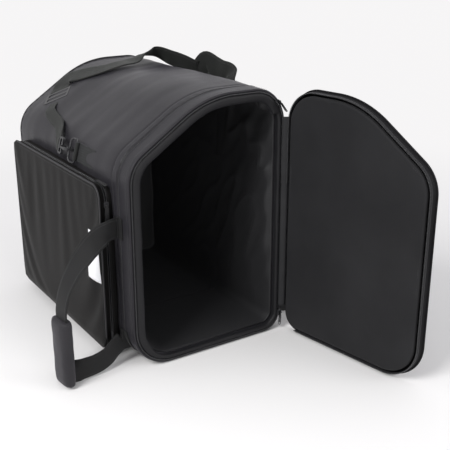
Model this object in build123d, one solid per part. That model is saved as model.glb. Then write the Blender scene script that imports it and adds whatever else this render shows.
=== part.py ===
from build123d import *
import math
import os

# Soft padded carrying case for a piano accordion, in millimetres.
# It lies on the side that is the bottom here, with its end lid open like a door.
# Origin: centre of the resting side, on the floor. +X: towards the hinge wall,
# +Y: from the open mouth to the closed back, +Z: up.

# End shape of the case: a box with one sloping shoulder.
CASE_LENGTH = 500.0
CASE_WIDTH = 320.0
HINGE_WALL_HEIGHT = 480.0
FAR_WALL_HEIGHT = 377.0
SHOULDER_WIDTH = 153.0
FAR_FOOT_R = 76.0
HINGE_FOOT_R = 38.0
HINGE_TOP_R = 66.0
KNEE_R = 186.0
SHOULDER_R = 67.0

# Wall layers and seams.
FABRIC = 1.2
FOAM = 17.6
PIPING_R = 1.6
BAND_DEPTH = 38.0
BAND_FRONT_GAP = 5.0
LIP_DEPTH = 11.7
LIP_WIDTH = 10.5
LIP_ROUND = 4.0
FACE_GAP = 0.3
FRONT_LAYER_DEPTH = 12.0
BACK_FOAM = 18.8

# Main zip, sewn round the mouth; the coil runs ZIP_INSET inside the skin.
ZIP_INSET = 6.0
TAPE = 0.8
COIL_WIDTH = 2.4
COIL_DEPTH = 2.0
ZIP_GAP = 1.6
ZIP_TOP_END = 300.0

# Door, drawn as closed and then swung open.
DOOR_REST_ANGLE = 99.0
DOOR_INSET = 1.5
DOOR_DEPTH = 20.0
DOOR_PANEL_INSET = 12.0
DOOR_PANEL_DEPTH = 7.2
DOOR_PANEL_ROUND = 3.0
DOOR_TAPE_DEPTH = 4.6
DOOR_FOAM_INSET = 7.0
HINGE_BEAD_R = 0.9
HINGE_STRIP = 1.0
HINGE_FOOT = 62.0

# Zip sliders and their pulls.
SLIDER_LENGTH = 11.0
SLIDER_WIDTH = 9.0
SLIDER_SLOT = 4.4
SLIDER_PLATE = 1.2
SLIDER_NECK = 1.0
NECK_LENGTH = 3.0
PULL_PIN_R = 0.7
PULL_FIT = 0.05
PULL_EYE_R = 1.15
PULL_EYE_WIDTH = 4.0
PULL_LENGTH = 28.0
PULL_WIDTH = 7.0
PULL_THICK = 1.2
PULL_RING_R = 2.2
LUG = 1.0
TOP_SLIDER_ANGLE = 38.0
FOOT_SLIDER_ANGLE = -4.0

# Pocket on the far wall.
POCKET_FRONT_SETBACK = 57.0
POCKET_LENGTH = 413.0
POCKET_FOOT = 25.0
POCKET_HEIGHT = 310.0
POCKET_CORNER_R = 25.0
POCKET_STAND_OFF = 27.2
POCKET_GUSSET = 1.0
POCKET_GUSSET_INSET = 3.0
POCKET_ZIP_STAND_OFF = 14.0
POCKET_HINGE_MARGIN = 34.0
POCKET_COIL_MARGIN = 17.0
POCKET_SLIDER_SETBACK = 34.0
POCKET_PULL_LENGTH = 38.0
LABEL_LENGTH = 45.0
LABEL_HEIGHT = 90.0
LABEL_THICK = 0.6
LABEL_SETBACK = 8.0
LABEL_FOOT = 155.0

# Carry handles, one on each side wall.
HANDLE_SETBACK = 41.0
HANDLE_UPPER_HEIGHT = 262.0
HANDLE_LOWER_HEIGHT = 50.0
HANDLE_REACH = 121.0
HANDLE_BEND_R = 50.0
WEBBING_WIDTH = 38.0
WEBBING = 2.4
GRIP_HEIGHT = 123.0
GRIP_WIDTH = 50.0
GRIP_THICK = 25.0
GRIP_ROUND = 9.0
GRIP_FLOOR_GAP = 4.0
STRAP_FLOOR_GAP = 3.0
HANDLE_KNUCKLE = 4.0
HANDLE_PATCH_LENGTH = 26.0
LEFT_HANDLE_ANGLE = 5.0
RIGHT_HANDLE_ANGLE = 10.0

# Shoulder strap and its hardware.
STRAP_WIDTH = 48.0
STRAP = 3.0
NARROW_WIDTH = 24.0
NARROW = 2.0
RING_WIRE_R = 1.8
RING_FIT = 0.05
RING_SLACK = 2.0
RING_WIDTH = 44.0
RING_LENGTH = 17.0
RING_TILT = 20.0
RING_ROUND = 4.0
TAB_WIDTH = 34.0
TAB_LENGTH = 70.0
TAB = 2.4
HOOK_WIDTH = 18.0
HOOK_LENGTH = 28.0
HOOK_WIRE = 4.0
HOOK_THICK = 5.0
GATE_LENGTH = 15.0
GATE_WIDTH = 2.6
GATE_PIN_R = 0.9
GATE_EYE_R = 2.0
GATE_FIT = 0.06
SWIVEL_R = 2.2
SWIVEL_FIT = 0.08
SWIVEL_NECK = 5.0
EYE_WIRE = 3.6
EYE_LENGTH = 11.0
LOCK_LENGTH = 34.0
LOCK_THICK = 4.0
LOCK_RIM = 5.0
LEFT_RING_CLEARANCE = 25.2
LEFT_RING_Y = -50.0
RIGHT_RING_HEIGHT = 340.0
RIGHT_RING_Y = -70.0
LEFT_WEB_CLIMB = 85.0
LEFT_LOCK_Y = 176.0
LEFT_LOCK_HEADING = 45.0
RIGHT_LOCK_HEIGHT = 440.0
RIGHT_LOCK_Y = -63.0
RIGHT_LOCK_LEAN = 17.0
STRAP_CREST_RISE = 274.0
RIBBON_STEPS = 4

HALF_WIDTH = CASE_WIDTH / 2
MOUTH_Y = -CASE_LENGTH / 2
BACK_Y = CASE_LENGTH / 2
WALL = FOAM + 2 * FABRIC
HINGE_X = HALF_WIDTH - FABRIC / 2

CORNERS = [
    (-HALF_WIDTH, 0.0, FAR_FOOT_R),
    (HALF_WIDTH, 0.0, HINGE_FOOT_R),
    (HALF_WIDTH, HINGE_WALL_HEIGHT, HINGE_TOP_R),
    (SHOULDER_WIDTH - HALF_WIDTH, HINGE_WALL_HEIGHT, KNEE_R),
    (-HALF_WIDTH, FAR_WALL_HEIGHT, SHOULDER_R),
]
FAR_FOOT, FOOT, TOP, KNEE, SHOULDER = range(5)


# ---------------------------------------------------------------- end shape
def inset_corner(index, inset):
    """A corner of the end shape, moved so that both of its walls move in by inset."""
    here = Vector(CORNERS[index][0], CORNERS[index][1])
    before = Vector(CORNERS[index - 1][0], CORNERS[index - 1][1])
    after_corner = CORNERS[(index + 1) % len(CORNERS)]
    after = Vector(after_corner[0], after_corner[1])
    arriving = (here - before).normalized()
    leaving = (after - here).normalized()
    inward = Vector(-arriving.Y, arriving.X) + Vector(-leaving.Y, leaving.X)
    return here + inward * (inset / (1 + arriving.dot(leaving)))


def outline(inset):
    """Closed outline of the end shape, drawn in by inset (or out, where inset is negative)."""
    points = [inset_corner(index, inset) for index in range(len(CORNERS))]
    return FilletPolyline(*points, radius=[corner[2] - inset for corner in CORNERS], close=True)


def end_face(inset):
    return make_face(outline(inset))


def rim(outer, inner):
    """The band of the end shape that lies between two insets."""
    return end_face(outer) - end_face(inner)


def along_case(sketch, start, end):
    """Sketch in the plane of the mouth, drawn out from y = start to y = end."""
    return extrude(Plane.XZ.offset(-end) * sketch, amount=end - start)


def ring_bead(inset, y, radius):
    """Round piping that follows the end shape."""
    path = Plane.XZ.offset(-y) * outline(inset)
    section = Plane(path @ 0, z_dir=path % 0) * Circle(radius)
    return sweep(section, path=path)


def block(low, high):
    """A box from its lowest corner to its highest."""
    size = [top - bottom for bottom, top in zip(low, high)]
    return Pos(*low) * Box(*size, align=(Align.MIN, Align.MIN, Align.MIN))


def skin_point(distance, lift):
    """Point (x, z) and outward direction over the case's top skin.

    distance runs from where the far wall starts to bend, over the shoulder and the
    top, and down the hinge wall. lift is how far the point stands off the skin."""
    slope = math.atan2(HINGE_WALL_HEIGHT - FAR_WALL_HEIGHT, SHOULDER_WIDTH)
    bends = [
        (inset_corner(SHOULDER, SHOULDER_R), SHOULDER_R, math.pi, math.pi / 2 + slope),
        (inset_corner(KNEE, KNEE_R), KNEE_R, math.pi / 2 + slope, math.pi / 2),
        (inset_corner(TOP, HINGE_TOP_R), HINGE_TOP_R, math.pi / 2, 0.0),
    ]
    left = distance
    here, facing = bends[0][0] + Vector(-SHOULDER_R, 0), math.pi
    for centre, radius, start, end in bends:
        straight = (centre + Vector(math.cos(start), math.sin(start)) * radius - here).length
        if left <= straight:
            break
        left -= straight
        bend_length = radius * (start - end)
        if left <= bend_length:
            facing = start - left / radius
            here, left = centre + Vector(math.cos(facing), math.sin(facing)) * radius, 0.0
            break
        left -= bend_length
        here, facing = centre + Vector(math.cos(end), math.sin(end)) * radius, end
    outward = Vector(math.cos(facing), math.sin(facing))
    point = here + Vector(outward.Y, -outward.X) * left + outward * lift
    return point, outward


# ---------------------------------------------------------------- case walls
BAND_BACK_Y = MOUTH_Y + BAND_DEPTH
BAND_FRONT_Y = MOUTH_Y + BAND_FRONT_GAP
SHELL_FRONT_Y = BAND_BACK_Y + 2 * PIPING_R
FOAM_FRONT_Y = MOUTH_Y + FRONT_LAYER_DEPTH
SHELL_BACK_Y = BACK_Y - FABRIC
WRAP_BACK_Y = SHELL_BACK_Y - 2 * PIPING_R
BACK_FOAM_Y = SHELL_BACK_Y - BACK_FOAM
LINING_BACK_Y = BACK_FOAM_Y - FABRIC


def wall_boards():
    """The foam sleeve, cut into one board for each wall along the bends' middles."""
    sleeve = rim(FABRIC, WALL - FABRIC)
    groove = along_case(rim(0, 2 * PIPING_R + FACE_GAP), BAND_BACK_Y, SHELL_FRONT_Y)
    boards = {}
    names = ["foam_floor", "foam_hinge_wall", "foam_top", "foam_shoulder", "foam_far_wall"]
    for index, name in enumerate(names):
        after = (index + 1) % len(CORNERS)
        wedge = make_face(Polyline(
            inset_corner(index, 0), inset_corner(after, 0),
            inset_corner(after, 3 * WALL), inset_corner(index, 3 * WALL), close=True))
        boards[name] = along_case(sleeve & wedge, FOAM_FRONT_Y, LINING_BACK_Y) - groove
    return boards


def case_walls():
    flat_left = CORNERS[FAR_FOOT][0] + FAR_FOOT_R
    flat_right = CORNERS[FOOT][0] - HINGE_FOOT_R
    flat = block((flat_left, SHELL_FRONT_Y, 0), (flat_right, WRAP_BACK_Y, FABRIC))
    sleeve = along_case(rim(0, FABRIC), SHELL_FRONT_Y, WRAP_BACK_Y)
    walls = {
        "shell_base_panel": flat,
        "shell_wrap": sleeve - flat,
        "shell_back_panel": along_case(end_face(0), SHELL_BACK_Y, BACK_Y),
        "back_piping": ring_bead(PIPING_R, WRAP_BACK_Y + PIPING_R, PIPING_R),
        "mouth_piping": ring_bead(PIPING_R, BAND_BACK_Y + PIPING_R, PIPING_R),
        "mouth_band": along_case(rim(0, FABRIC), BAND_FRONT_Y, BAND_BACK_Y),
        "foam_back": along_case(end_face(2 * PIPING_R + FACE_GAP), BACK_FOAM_Y, SHELL_BACK_Y),
        "lining_sleeve": along_case(rim(WALL - FABRIC, WALL), FOAM_FRONT_Y, LINING_BACK_Y),
        "lining_back": along_case(end_face(WALL - FABRIC), LINING_BACK_Y, BACK_FOAM_Y),
    }
    walls.update(wall_boards())
    lip_start = FOAM_FRONT_Y - LIP_DEPTH
    lip = along_case(rim(WALL - LIP_WIDTH, WALL), lip_start, FOAM_FRONT_Y)
    front_edges = lip.faces().sort_by(Axis.Y)[0].edges()
    walls["mouth_lip"] = fillet(front_edges, LIP_ROUND)
    return walls


# ---------------------------------------------------------------- main zip
COIL_FRONT_Y = MOUTH_Y + 0.4
COIL_BACK_Y = COIL_FRONT_Y + COIL_DEPTH
DOOR_COIL_Y = COIL_FRONT_Y - ZIP_GAP


def hinge_side(low, high):
    """A block round the hinge wall's edge of the mouth between two heights."""
    deep = DOOR_DEPTH + BAND_DEPTH
    return block((HALF_WIDTH - HINGE_TOP_R / 2, MOUTH_Y - deep, low),
                 (HALF_WIDTH + WALL, MOUTH_Y + deep, high))


def case_zip():
    tape = along_case(rim(ZIP_INSET - TAPE / 2, ZIP_INSET + TAPE / 2), COIL_BACK_Y, FOAM_FRONT_Y)
    coil = along_case(rim(ZIP_INSET - COIL_WIDTH / 2, ZIP_INSET + COIL_WIDTH / 2),
                      COIL_FRONT_Y, COIL_BACK_Y)
    gap = hinge_side(HINGE_FOOT_R, ZIP_TOP_END)
    strip_back_x = HINGE_X - HINGE_STRIP / 2
    strip = block((strip_back_x, MOUTH_Y, HINGE_FOOT), (strip_back_x + HINGE_STRIP, BAND_FRONT_Y, ZIP_TOP_END))
    bead = Pos(HINGE_X, MOUTH_Y, HINGE_FOOT) * Cylinder(
        HINGE_BEAD_R, ZIP_TOP_END - HINGE_FOOT, align=(Align.CENTER, Align.CENTER, Align.MIN))
    return {"case_zip_tape": tape, "case_zip_coil": coil - gap, "case_hinge_strip": strip + bead}


# ---------------------------------------------------------------- door
DOOR_AXIS = Axis((HINGE_X, MOUTH_Y, 0), (0, 0, 1))
DOOR_PANEL_Y = MOUTH_Y - 0.8
DOOR_FOAM_Y = DOOR_PANEL_Y - DOOR_PANEL_DEPTH
DOOR_OUTER_Y = MOUTH_Y - DOOR_DEPTH
DOOR_COVER_Y = DOOR_OUTER_Y + FABRIC
DOOR_TAPE_Y = DOOR_COIL_Y - COIL_DEPTH
DOOR_GUSSET_Y = DOOR_TAPE_Y - DOOR_TAPE_DEPTH


def door_hinge_strip():
    """Cloth strip from just off the hinge bead to the front edge of the door's gusset."""
    target = Vector(HINGE_X - HALF_WIDTH + ZIP_INSET, MOUTH_Y - DOOR_GUSSET_Y)
    along = target.normalized()
    aside = Vector(-along.Y, along.X) * (HINGE_STRIP / 2)
    start = along * (HINGE_BEAD_R + FACE_GAP + HINGE_STRIP / 4)
    half_end = Vector(HINGE_STRIP / 2, 0)
    plan = [start + aside, start - aside, target + half_end, target - half_end]
    points = [Vector(HINGE_X - point.X, MOUTH_Y - point.Y) for point in plan]
    strip = extrude(make_face(Polyline(*points, close=True)), amount=ZIP_TOP_END - HINGE_FOOT)
    return Pos(0, 0, HINGE_FOOT) * strip


def door():
    half_tape = TAPE / 2
    half_coil = COIL_WIDTH / 2
    panel = along_case(end_face(DOOR_PANEL_INSET), DOOR_FOAM_Y, DOOR_PANEL_Y)
    face_edges = panel.faces().sort_by(Axis.Y)[-1].edges()
    coil = along_case(rim(ZIP_INSET - half_coil, ZIP_INSET + half_coil), DOOR_TAPE_Y, DOOR_COIL_Y)
    no_coil = hinge_side(0, ZIP_TOP_END) + hinge_side(-WALL, HINGE_FOOT_R)
    pieces = {
        "door_inner_panel": fillet(face_edges, DOOR_PANEL_ROUND),
        "door_foam": along_case(end_face(DOOR_FOAM_INSET), DOOR_COVER_Y, DOOR_FOAM_Y),
        "door_cover": along_case(end_face(DOOR_INSET), DOOR_OUTER_Y, DOOR_COVER_Y),
        "door_piping": ring_bead(DOOR_INSET + PIPING_R, DOOR_COVER_Y + PIPING_R, PIPING_R),
        "door_gusset": along_case(rim(ZIP_INSET - FABRIC / 2, ZIP_INSET + FABRIC / 2),
                                  DOOR_COVER_Y, DOOR_GUSSET_Y),
        "door_zip_tape": along_case(rim(ZIP_INSET - half_tape, ZIP_INSET + half_tape),
                                    DOOR_GUSSET_Y, DOOR_TAPE_Y) - hinge_side(-WALL, ZIP_TOP_END),
        "door_zip_coil": coil - no_coil,
        "door_hinge_strip": door_hinge_strip(),
    }
    return {name: piece.rotate(DOOR_AXIS, DOOR_REST_ANGLE) for name, piece in pieces.items()}


# ---------------------------------------------------------------- zip sliders
SLIDER_FACE = SLIDER_SLOT / 2 + SLIDER_PLATE
PIN_HEIGHT = SLIDER_FACE + PULL_EYE_R + 0.15


def slider():
    """Slider at the origin: +X along the zip, Y across its halves, +Z out of the case."""
    plate = Box(SLIDER_LENGTH, SLIDER_WIDTH, SLIDER_PLATE)
    plate = fillet(plate.edges().filter_by(Axis.Z), SLIDER_WIDTH / 4)
    plate_offset = (SLIDER_SLOT + SLIDER_PLATE) / 2
    body = Pos(0, 0, plate_offset) * plate + Pos(0, 0, -plate_offset) * plate
    body += Pos((SLIDER_LENGTH - NECK_LENGTH) / 2, 0, 0) * Box(NECK_LENGTH, SLIDER_NECK, SLIDER_SLOT)
    lug_height = PIN_HEIGHT - SLIDER_FACE
    for side in (-1, 1):
        lug_y = side * (PULL_EYE_WIDTH / 2 + LUG / 2 + 0.15)
        lug = Box(2 * PULL_EYE_R, LUG, lug_height, align=(Align.CENTER, Align.CENTER, Align.MIN))
        body += Pos(0, lug_y, SLIDER_FACE) * lug
        body += Pos(0, lug_y, PIN_HEIGHT) * Rot(90, 0, 0) * Cylinder(PULL_EYE_R, LUG)
    body += Pos(0, 0, PIN_HEIGHT) * Rot(90, 0, 0) * Cylinder(PULL_PIN_R, PULL_EYE_WIDTH + LUG)
    return body


def pull(length):
    """Pull tab for the slider, lying along -X from the slider's pin."""
    eye = Rot(90, 0, 0) * Cylinder(PULL_EYE_R, PULL_EYE_WIDTH)
    tab_length = length - PULL_EYE_R
    tab = Pos(-PULL_EYE_R / 2 - tab_length / 2, 0, 0) * Box(tab_length, PULL_WIDTH, PULL_THICK)
    tab = fillet(tab.edges().filter_by(Axis.Z).group_by(Axis.X)[0], PULL_WIDTH / 2 - 0.2)
    shoulder = Box(SLIDER_LENGTH, PULL_WIDTH, 4 * PULL_EYE_R) - Box(SLIDER_LENGTH, PULL_EYE_WIDTH, 4 * PULL_EYE_R)
    ring = Pos(PULL_EYE_R / 2 - length + PULL_WIDTH / 2, 0, 0) * Cylinder(PULL_RING_R, 3 * PULL_THICK)
    body = eye + (tab - shoulder - ring) - Rot(90, 0, 0) * Cylinder(PULL_PIN_R + PULL_FIT, 2 * PULL_WIDTH)
    return Pos(0, 0, PIN_HEIGHT) * body


def on_zip_bend(piece, corner, angle, forward):
    """Put a slider or pull on the main zip's bend round a corner, at an angle above +X."""
    centre = inset_corner(corner, CORNERS[corner][2])
    radius = CORNERS[corner][2] - ZIP_INSET
    turn = math.radians(angle)
    out = Vector(math.cos(turn), 0, math.sin(turn))
    middle_y = COIL_FRONT_Y - ZIP_GAP / 2
    place = Vector(centre.X, middle_y, centre.Y) + out * radius
    travel = Vector(-math.sin(turn), 0, math.cos(turn)) * forward
    return Plane(place, x_dir=travel, z_dir=out) * piece


def main_sliders():
    return {
        "top_slider": on_zip_bend(slider(), TOP, TOP_SLIDER_ANGLE, 1),
        "top_slider_pull": on_zip_bend(pull(PULL_LENGTH), TOP, TOP_SLIDER_ANGLE, 1),
        "foot_slider": on_zip_bend(slider(), FOOT, FOOT_SLIDER_ANGLE, 1),
        "foot_slider_pull": on_zip_bend(pull(PULL_LENGTH), FOOT, FOOT_SLIDER_ANGLE, 1),
    }


# ---------------------------------------------------------------- pocket
POCKET_FRONT_Y = MOUTH_Y + POCKET_FRONT_SETBACK
POCKET_BACK_Y = POCKET_FRONT_Y + POCKET_LENGTH
POCKET_TOP = POCKET_FOOT + POCKET_HEIGHT
POCKET_FACE_X = -HALF_WIDTH - POCKET_STAND_OFF
POCKET_PANEL_X = POCKET_FACE_X + FABRIC
POCKET_ZIP_X = -HALF_WIDTH - POCKET_ZIP_STAND_OFF
POCKET_INNER_COIL_X = POCKET_ZIP_X + ZIP_GAP / 2
POCKET_OUTER_COIL_X = POCKET_ZIP_X - ZIP_GAP / 2
POCKET_ZIP_INSET = POCKET_GUSSET_INSET + POCKET_GUSSET / 2
POCKET_AXIS_Y = POCKET_BACK_Y - POCKET_ZIP_INSET


def pocket_face(inset):
    centre = Pos((POCKET_FRONT_Y + POCKET_BACK_Y) / 2, (POCKET_FOOT + POCKET_TOP) / 2)
    return centre * RectangleRounded(POCKET_LENGTH - 2 * inset, POCKET_HEIGHT - 2 * inset,
                                     POCKET_CORNER_R - inset)


def pocket_rim(inset, thickness, low_x, high_x):
    sketch = pocket_face(inset) - pocket_face(inset + thickness)
    return extrude(Plane.YZ.offset(low_x) * sketch, amount=high_x - low_x)


def pocket():
    gusset_x = POCKET_INNER_COIL_X + COIL_DEPTH
    outer_gusset_x = POCKET_OUTER_COIL_X - COIL_DEPTH
    coil_inset = POCKET_ZIP_INSET - COIL_WIDTH / 2
    filled_case = along_case(end_face(0), MOUTH_Y, BACK_Y)
    inner = pocket_rim(POCKET_GUSSET_INSET, POCKET_GUSSET, gusset_x, -HALF_WIDTH + FAR_FOOT_R)
    hinge_low = POCKET_FOOT + POCKET_HINGE_MARGIN
    hinge_high = POCKET_TOP - POCKET_HINGE_MARGIN
    hinge_gap = block((POCKET_FACE_X, POCKET_AXIS_Y - 2 * COIL_WIDTH, POCKET_FOOT + POCKET_COIL_MARGIN),
                      (-HALF_WIDTH, POCKET_BACK_Y, POCKET_TOP - POCKET_COIL_MARGIN))
    strip_front = POCKET_AXIS_Y - POCKET_GUSSET / 2
    strip_back = strip_front + POCKET_GUSSET
    strip = block((POCKET_ZIP_X, strip_front, hinge_low), (gusset_x, strip_back, hinge_high))
    strip += Pos(POCKET_ZIP_X, POCKET_AXIS_Y, hinge_low) * Cylinder(
        HINGE_BEAD_R, hinge_high - hinge_low, align=(Align.CENTER, Align.CENTER, Align.MIN))
    flap_strip = block((outer_gusset_x, strip_front, hinge_low),
                       (POCKET_ZIP_X - HINGE_BEAD_R - FACE_GAP, strip_back, hinge_high))
    face = extrude(Plane.YZ.offset(POCKET_FACE_X) * pocket_face(0), amount=FABRIC)
    label_y = POCKET_FRONT_Y + LABEL_SETBACK
    return {
        "pocket_base_gusset": inner - filled_case,
        "pocket_inner_coil": pocket_rim(coil_inset, COIL_WIDTH, POCKET_INNER_COIL_X, gusset_x) - hinge_gap,
        "pocket_hinge_strip": strip,
        "pocket_outer_coil": pocket_rim(coil_inset, COIL_WIDTH, outer_gusset_x, POCKET_OUTER_COIL_X) - hinge_gap,
        "pocket_flap_gusset": pocket_rim(POCKET_GUSSET_INSET, POCKET_GUSSET, POCKET_PANEL_X, outer_gusset_x),
        "pocket_flap_hinge": flap_strip,
        "pocket_flap_panel": face,
        "pocket_label": block((POCKET_FACE_X - LABEL_THICK, label_y, LABEL_FOOT),
                              (POCKET_FACE_X, label_y + LABEL_LENGTH, LABEL_FOOT + LABEL_HEIGHT)),
    }


def pocket_sliders():
    """Two sliders parked at the pocket's top front corner, with hanging pulls."""
    top = Plane((POCKET_ZIP_X, POCKET_FRONT_Y + POCKET_SLIDER_SETBACK, POCKET_TOP - POCKET_ZIP_INSET),
                x_dir=(0, 1, 0), z_dir=(0, 0, 1))
    front = Plane((POCKET_ZIP_X, POCKET_FRONT_Y + POCKET_ZIP_INSET, POCKET_TOP - POCKET_SLIDER_SETBACK),
                  x_dir=(0, 0, 1), z_dir=(0, -1, 0))
    return {
        "pocket_top_slider": top * slider(),
        "pocket_top_pull": top * pull(POCKET_PULL_LENGTH),
        "pocket_front_slider": front * slider(),
        "pocket_front_pull": front * pull(POCKET_PULL_LENGTH),
    }


# ---------------------------------------------------------------- carry handles
HANDLE_Y = MOUTH_Y + HANDLE_SETBACK
KNUCKLE_R = 1.0


def handle_loop(clearance):
    """The webbing loop in the XZ plane, with X measured outwards from the wall."""
    start = HANDLE_KNUCKLE + KNUCKLE_R + FACE_GAP
    floor = STRAP_FLOOR_GAP + WEBBING_WIDTH / 2
    grip_top = GRIP_FLOOR_GAP + GRIP_HEIGHT
    level = (HANDLE_REACH - start) / 3
    path = FilletPolyline(
        (start, HANDLE_UPPER_HEIGHT), (start + level, HANDLE_UPPER_HEIGHT),
        (HANDLE_REACH, grip_top + GRIP_WIDTH / 2), (HANDLE_REACH, floor),
        (start + level, HANDLE_LOWER_HEIGHT), (start, HANDLE_LOWER_HEIGHT),
        radius=[HANDLE_BEND_R, HANDLE_BEND_R, WEBBING_WIDTH / 2 + 1, HANDLE_BEND_R])
    return extrude(Plane.XZ * trace(path, WEBBING_WIDTH + 2 * clearance), amount=WEBBING / 2 + clearance, both=True)


def handle_grip():
    grip = Pos(HANDLE_REACH, 0, GRIP_FLOOR_GAP + GRIP_HEIGHT / 2) * Box(GRIP_THICK, GRIP_WIDTH, GRIP_HEIGHT)
    grip = fillet(grip.edges().filter_by(Axis.Z), GRIP_ROUND)
    return grip - handle_loop(FACE_GAP)


def handle_anchor():
    """Sewn end patches and the folds that the loop swings on, before the case is cut away."""
    half = WEBBING_WIDTH / 2
    anchor = None
    for height in (HANDLE_UPPER_HEIGHT, HANDLE_LOWER_HEIGHT):
        stem = block((-FAR_FOOT_R, -WEBBING / 2, height - half), (HANDLE_KNUCKLE, WEBBING / 2, height + half))
        knuckle = Pos(HANDLE_KNUCKLE, 0, height) * Cylinder(KNUCKLE_R, WEBBING_WIDTH)
        anchor = stem + knuckle if anchor is None else anchor + stem + knuckle
    return anchor


def handle_patches(side):
    """Webbing ends stitched flat on the wall, following its bend."""
    sleeve = along_case(rim(-WEBBING * 0.8, 0), HANDLE_Y - HANDLE_PATCH_LENGTH / 2, HANDLE_Y + HANDLE_PATCH_LENGTH / 2)
    patches = None
    for height in (HANDLE_UPPER_HEIGHT, HANDLE_LOWER_HEIGHT):
        low = height - WEBBING_WIDTH / 2
        x_low, x_high = sorted((side * (HALF_WIDTH - FAR_FOOT_R), side * (HALF_WIDTH + WALL)))
        patch = sleeve & block((x_low, MOUTH_Y, low), (x_high, 0, low + WEBBING_WIDTH))
        patches = patch if patches is None else patches + patch
    return patches


def handles():
    parts = {}
    filled_case = along_case(end_face(0), MOUTH_Y, BACK_Y)
    for name, side, turn in (("left", -1, LEFT_HANDLE_ANGLE), ("right", 1, RIGHT_HANDLE_ANGLE)):
        wall = Plane((side * HALF_WIDTH, HANDLE_Y, 0), x_dir=(side, 0, 0), z_dir=(0, 0, 1))
        axis = Axis((side * (HALF_WIDTH + HANDLE_KNUCKLE), HANDLE_Y, 0), (0, 0, 1))
        stems = wall * handle_anchor() - filled_case
        parts[f"{name}_handle_anchor"] = stems + handle_patches(side)
        parts[f"{name}_handle_webbing"] = (wall * handle_loop(0)).rotate(axis, turn)
        parts[f"{name}_handle_grip"] = (wall * handle_grip()).rotate(axis, turn)
    return parts


# ---------------------------------------------------------------- shoulder strap
def ribbon(stations, width, thickness):
    """A flat strap that runs smoothly through stations: each a point and a direction across."""
    points = [station[0] for station in stations]
    last = len(points) - 1
    ways = [(points[min(index + 1, last)] - points[max(index - 1, 0)]).normalized()
            for index in range(last + 1)]
    path = []
    for index in range(last):
        (start, near), (end, far) = stations[index], stations[index + 1]
        span = (end - start).length
        for step in range(RIBBON_STEPS):
            t = step / RIBBON_STEPS
            ease = t * t * (3 - 2 * t)
            point = start * (1 - ease) + end * ease
            point += ways[index] * (span * t * (1 - t) ** 2) - ways[index + 1] * (span * t * t * (1 - t))
            path.append((point, near * (1 - t) + far * t))
    path.append(stations[-1])
    faces = []
    for index, (point, across) in enumerate(path):
        ahead = path[min(index + 1, len(path) - 1)][0] - path[max(index - 1, 0)][0]
        if index in (0, len(path) - 1):
            ahead = ways[0] if index == 0 else ways[-1]
        faces.append(Plane(point, x_dir=across, z_dir=ahead) * Rectangle(width, thickness))
    return loft(faces, ruled=True)


def laid(rise, y, lift, heading):
    """A strap station on the case's skin: heading 0 runs along +Y, 90 runs up the skin."""
    point, outward = skin_point(rise, lift)
    up = Vector(outward.Y, 0, -outward.X)
    turn = math.radians(heading)
    return Vector(point.X, y, point.Y), up * math.cos(turn) - Vector(0, 1, 0) * math.sin(turn)


RING_LIFT = PIPING_R + RING_WIRE_R + TAB
LEFT_RING_RISE = POCKET_TOP + LEFT_RING_CLEARANCE - inset_corner(SHOULDER, SHOULDER_R).Y
LEFT_LOCK_RISE = LEFT_RING_RISE + LEFT_WEB_CLIMB
HOOK_FRONT = RING_LENGTH * math.cos(math.radians(RING_TILT)) - RING_WIRE_R - HOOK_WIRE / 2 - RING_SLACK
HOOK_BACK = HOOK_FRONT + HOOK_LENGTH
HOOK_MIDDLE = RING_LENGTH * math.sin(math.radians(RING_TILT)) + 2.0
EYE_FRONT = HOOK_BACK + HOOK_WIRE / 2 + SWIVEL_NECK
EYE_BACK = EYE_FRONT + EYE_LENGTH
WEB_START = EYE_BACK + EYE_WIRE / 2 + FACE_GAP


def anchor_tab():
    """Webbing folded round the ring's straight bar and sewn down flat.

    Local frame of all this hardware: origin on the ring's straight bar, +X the way the
    strap pulls, +Y along the bar, +Z out of the case."""
    low = -RING_LIFT + FACE_GAP
    flat = block((-TAB_LENGTH, -TAB_WIDTH / 2, low), (0, TAB_WIDTH / 2, low + TAB))
    fold_r = RING_WIRE_R + TAB
    fold = Rot(90, 0, 0) * Cylinder(fold_r, TAB_WIDTH)
    bar = Rot(90, 0, 0) * Cylinder(RING_WIRE_R + RING_FIT, 2 * TAB_WIDTH)
    return flat + fold - bar


def strap_ring():
    half = RING_WIDTH / 2
    wire = FilletPolyline((0, -half), (RING_LENGTH, -half), (RING_LENGTH, half), (0, half),
                          radius=[RING_ROUND, 2 * RING_ROUND, 2 * RING_ROUND, RING_ROUND], close=True)
    path = Rot(0, -RING_TILT, 0) * wire
    return sweep(Plane(path @ 0, z_dir=path % 0) * Circle(RING_WIRE_R), path=path)


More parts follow.
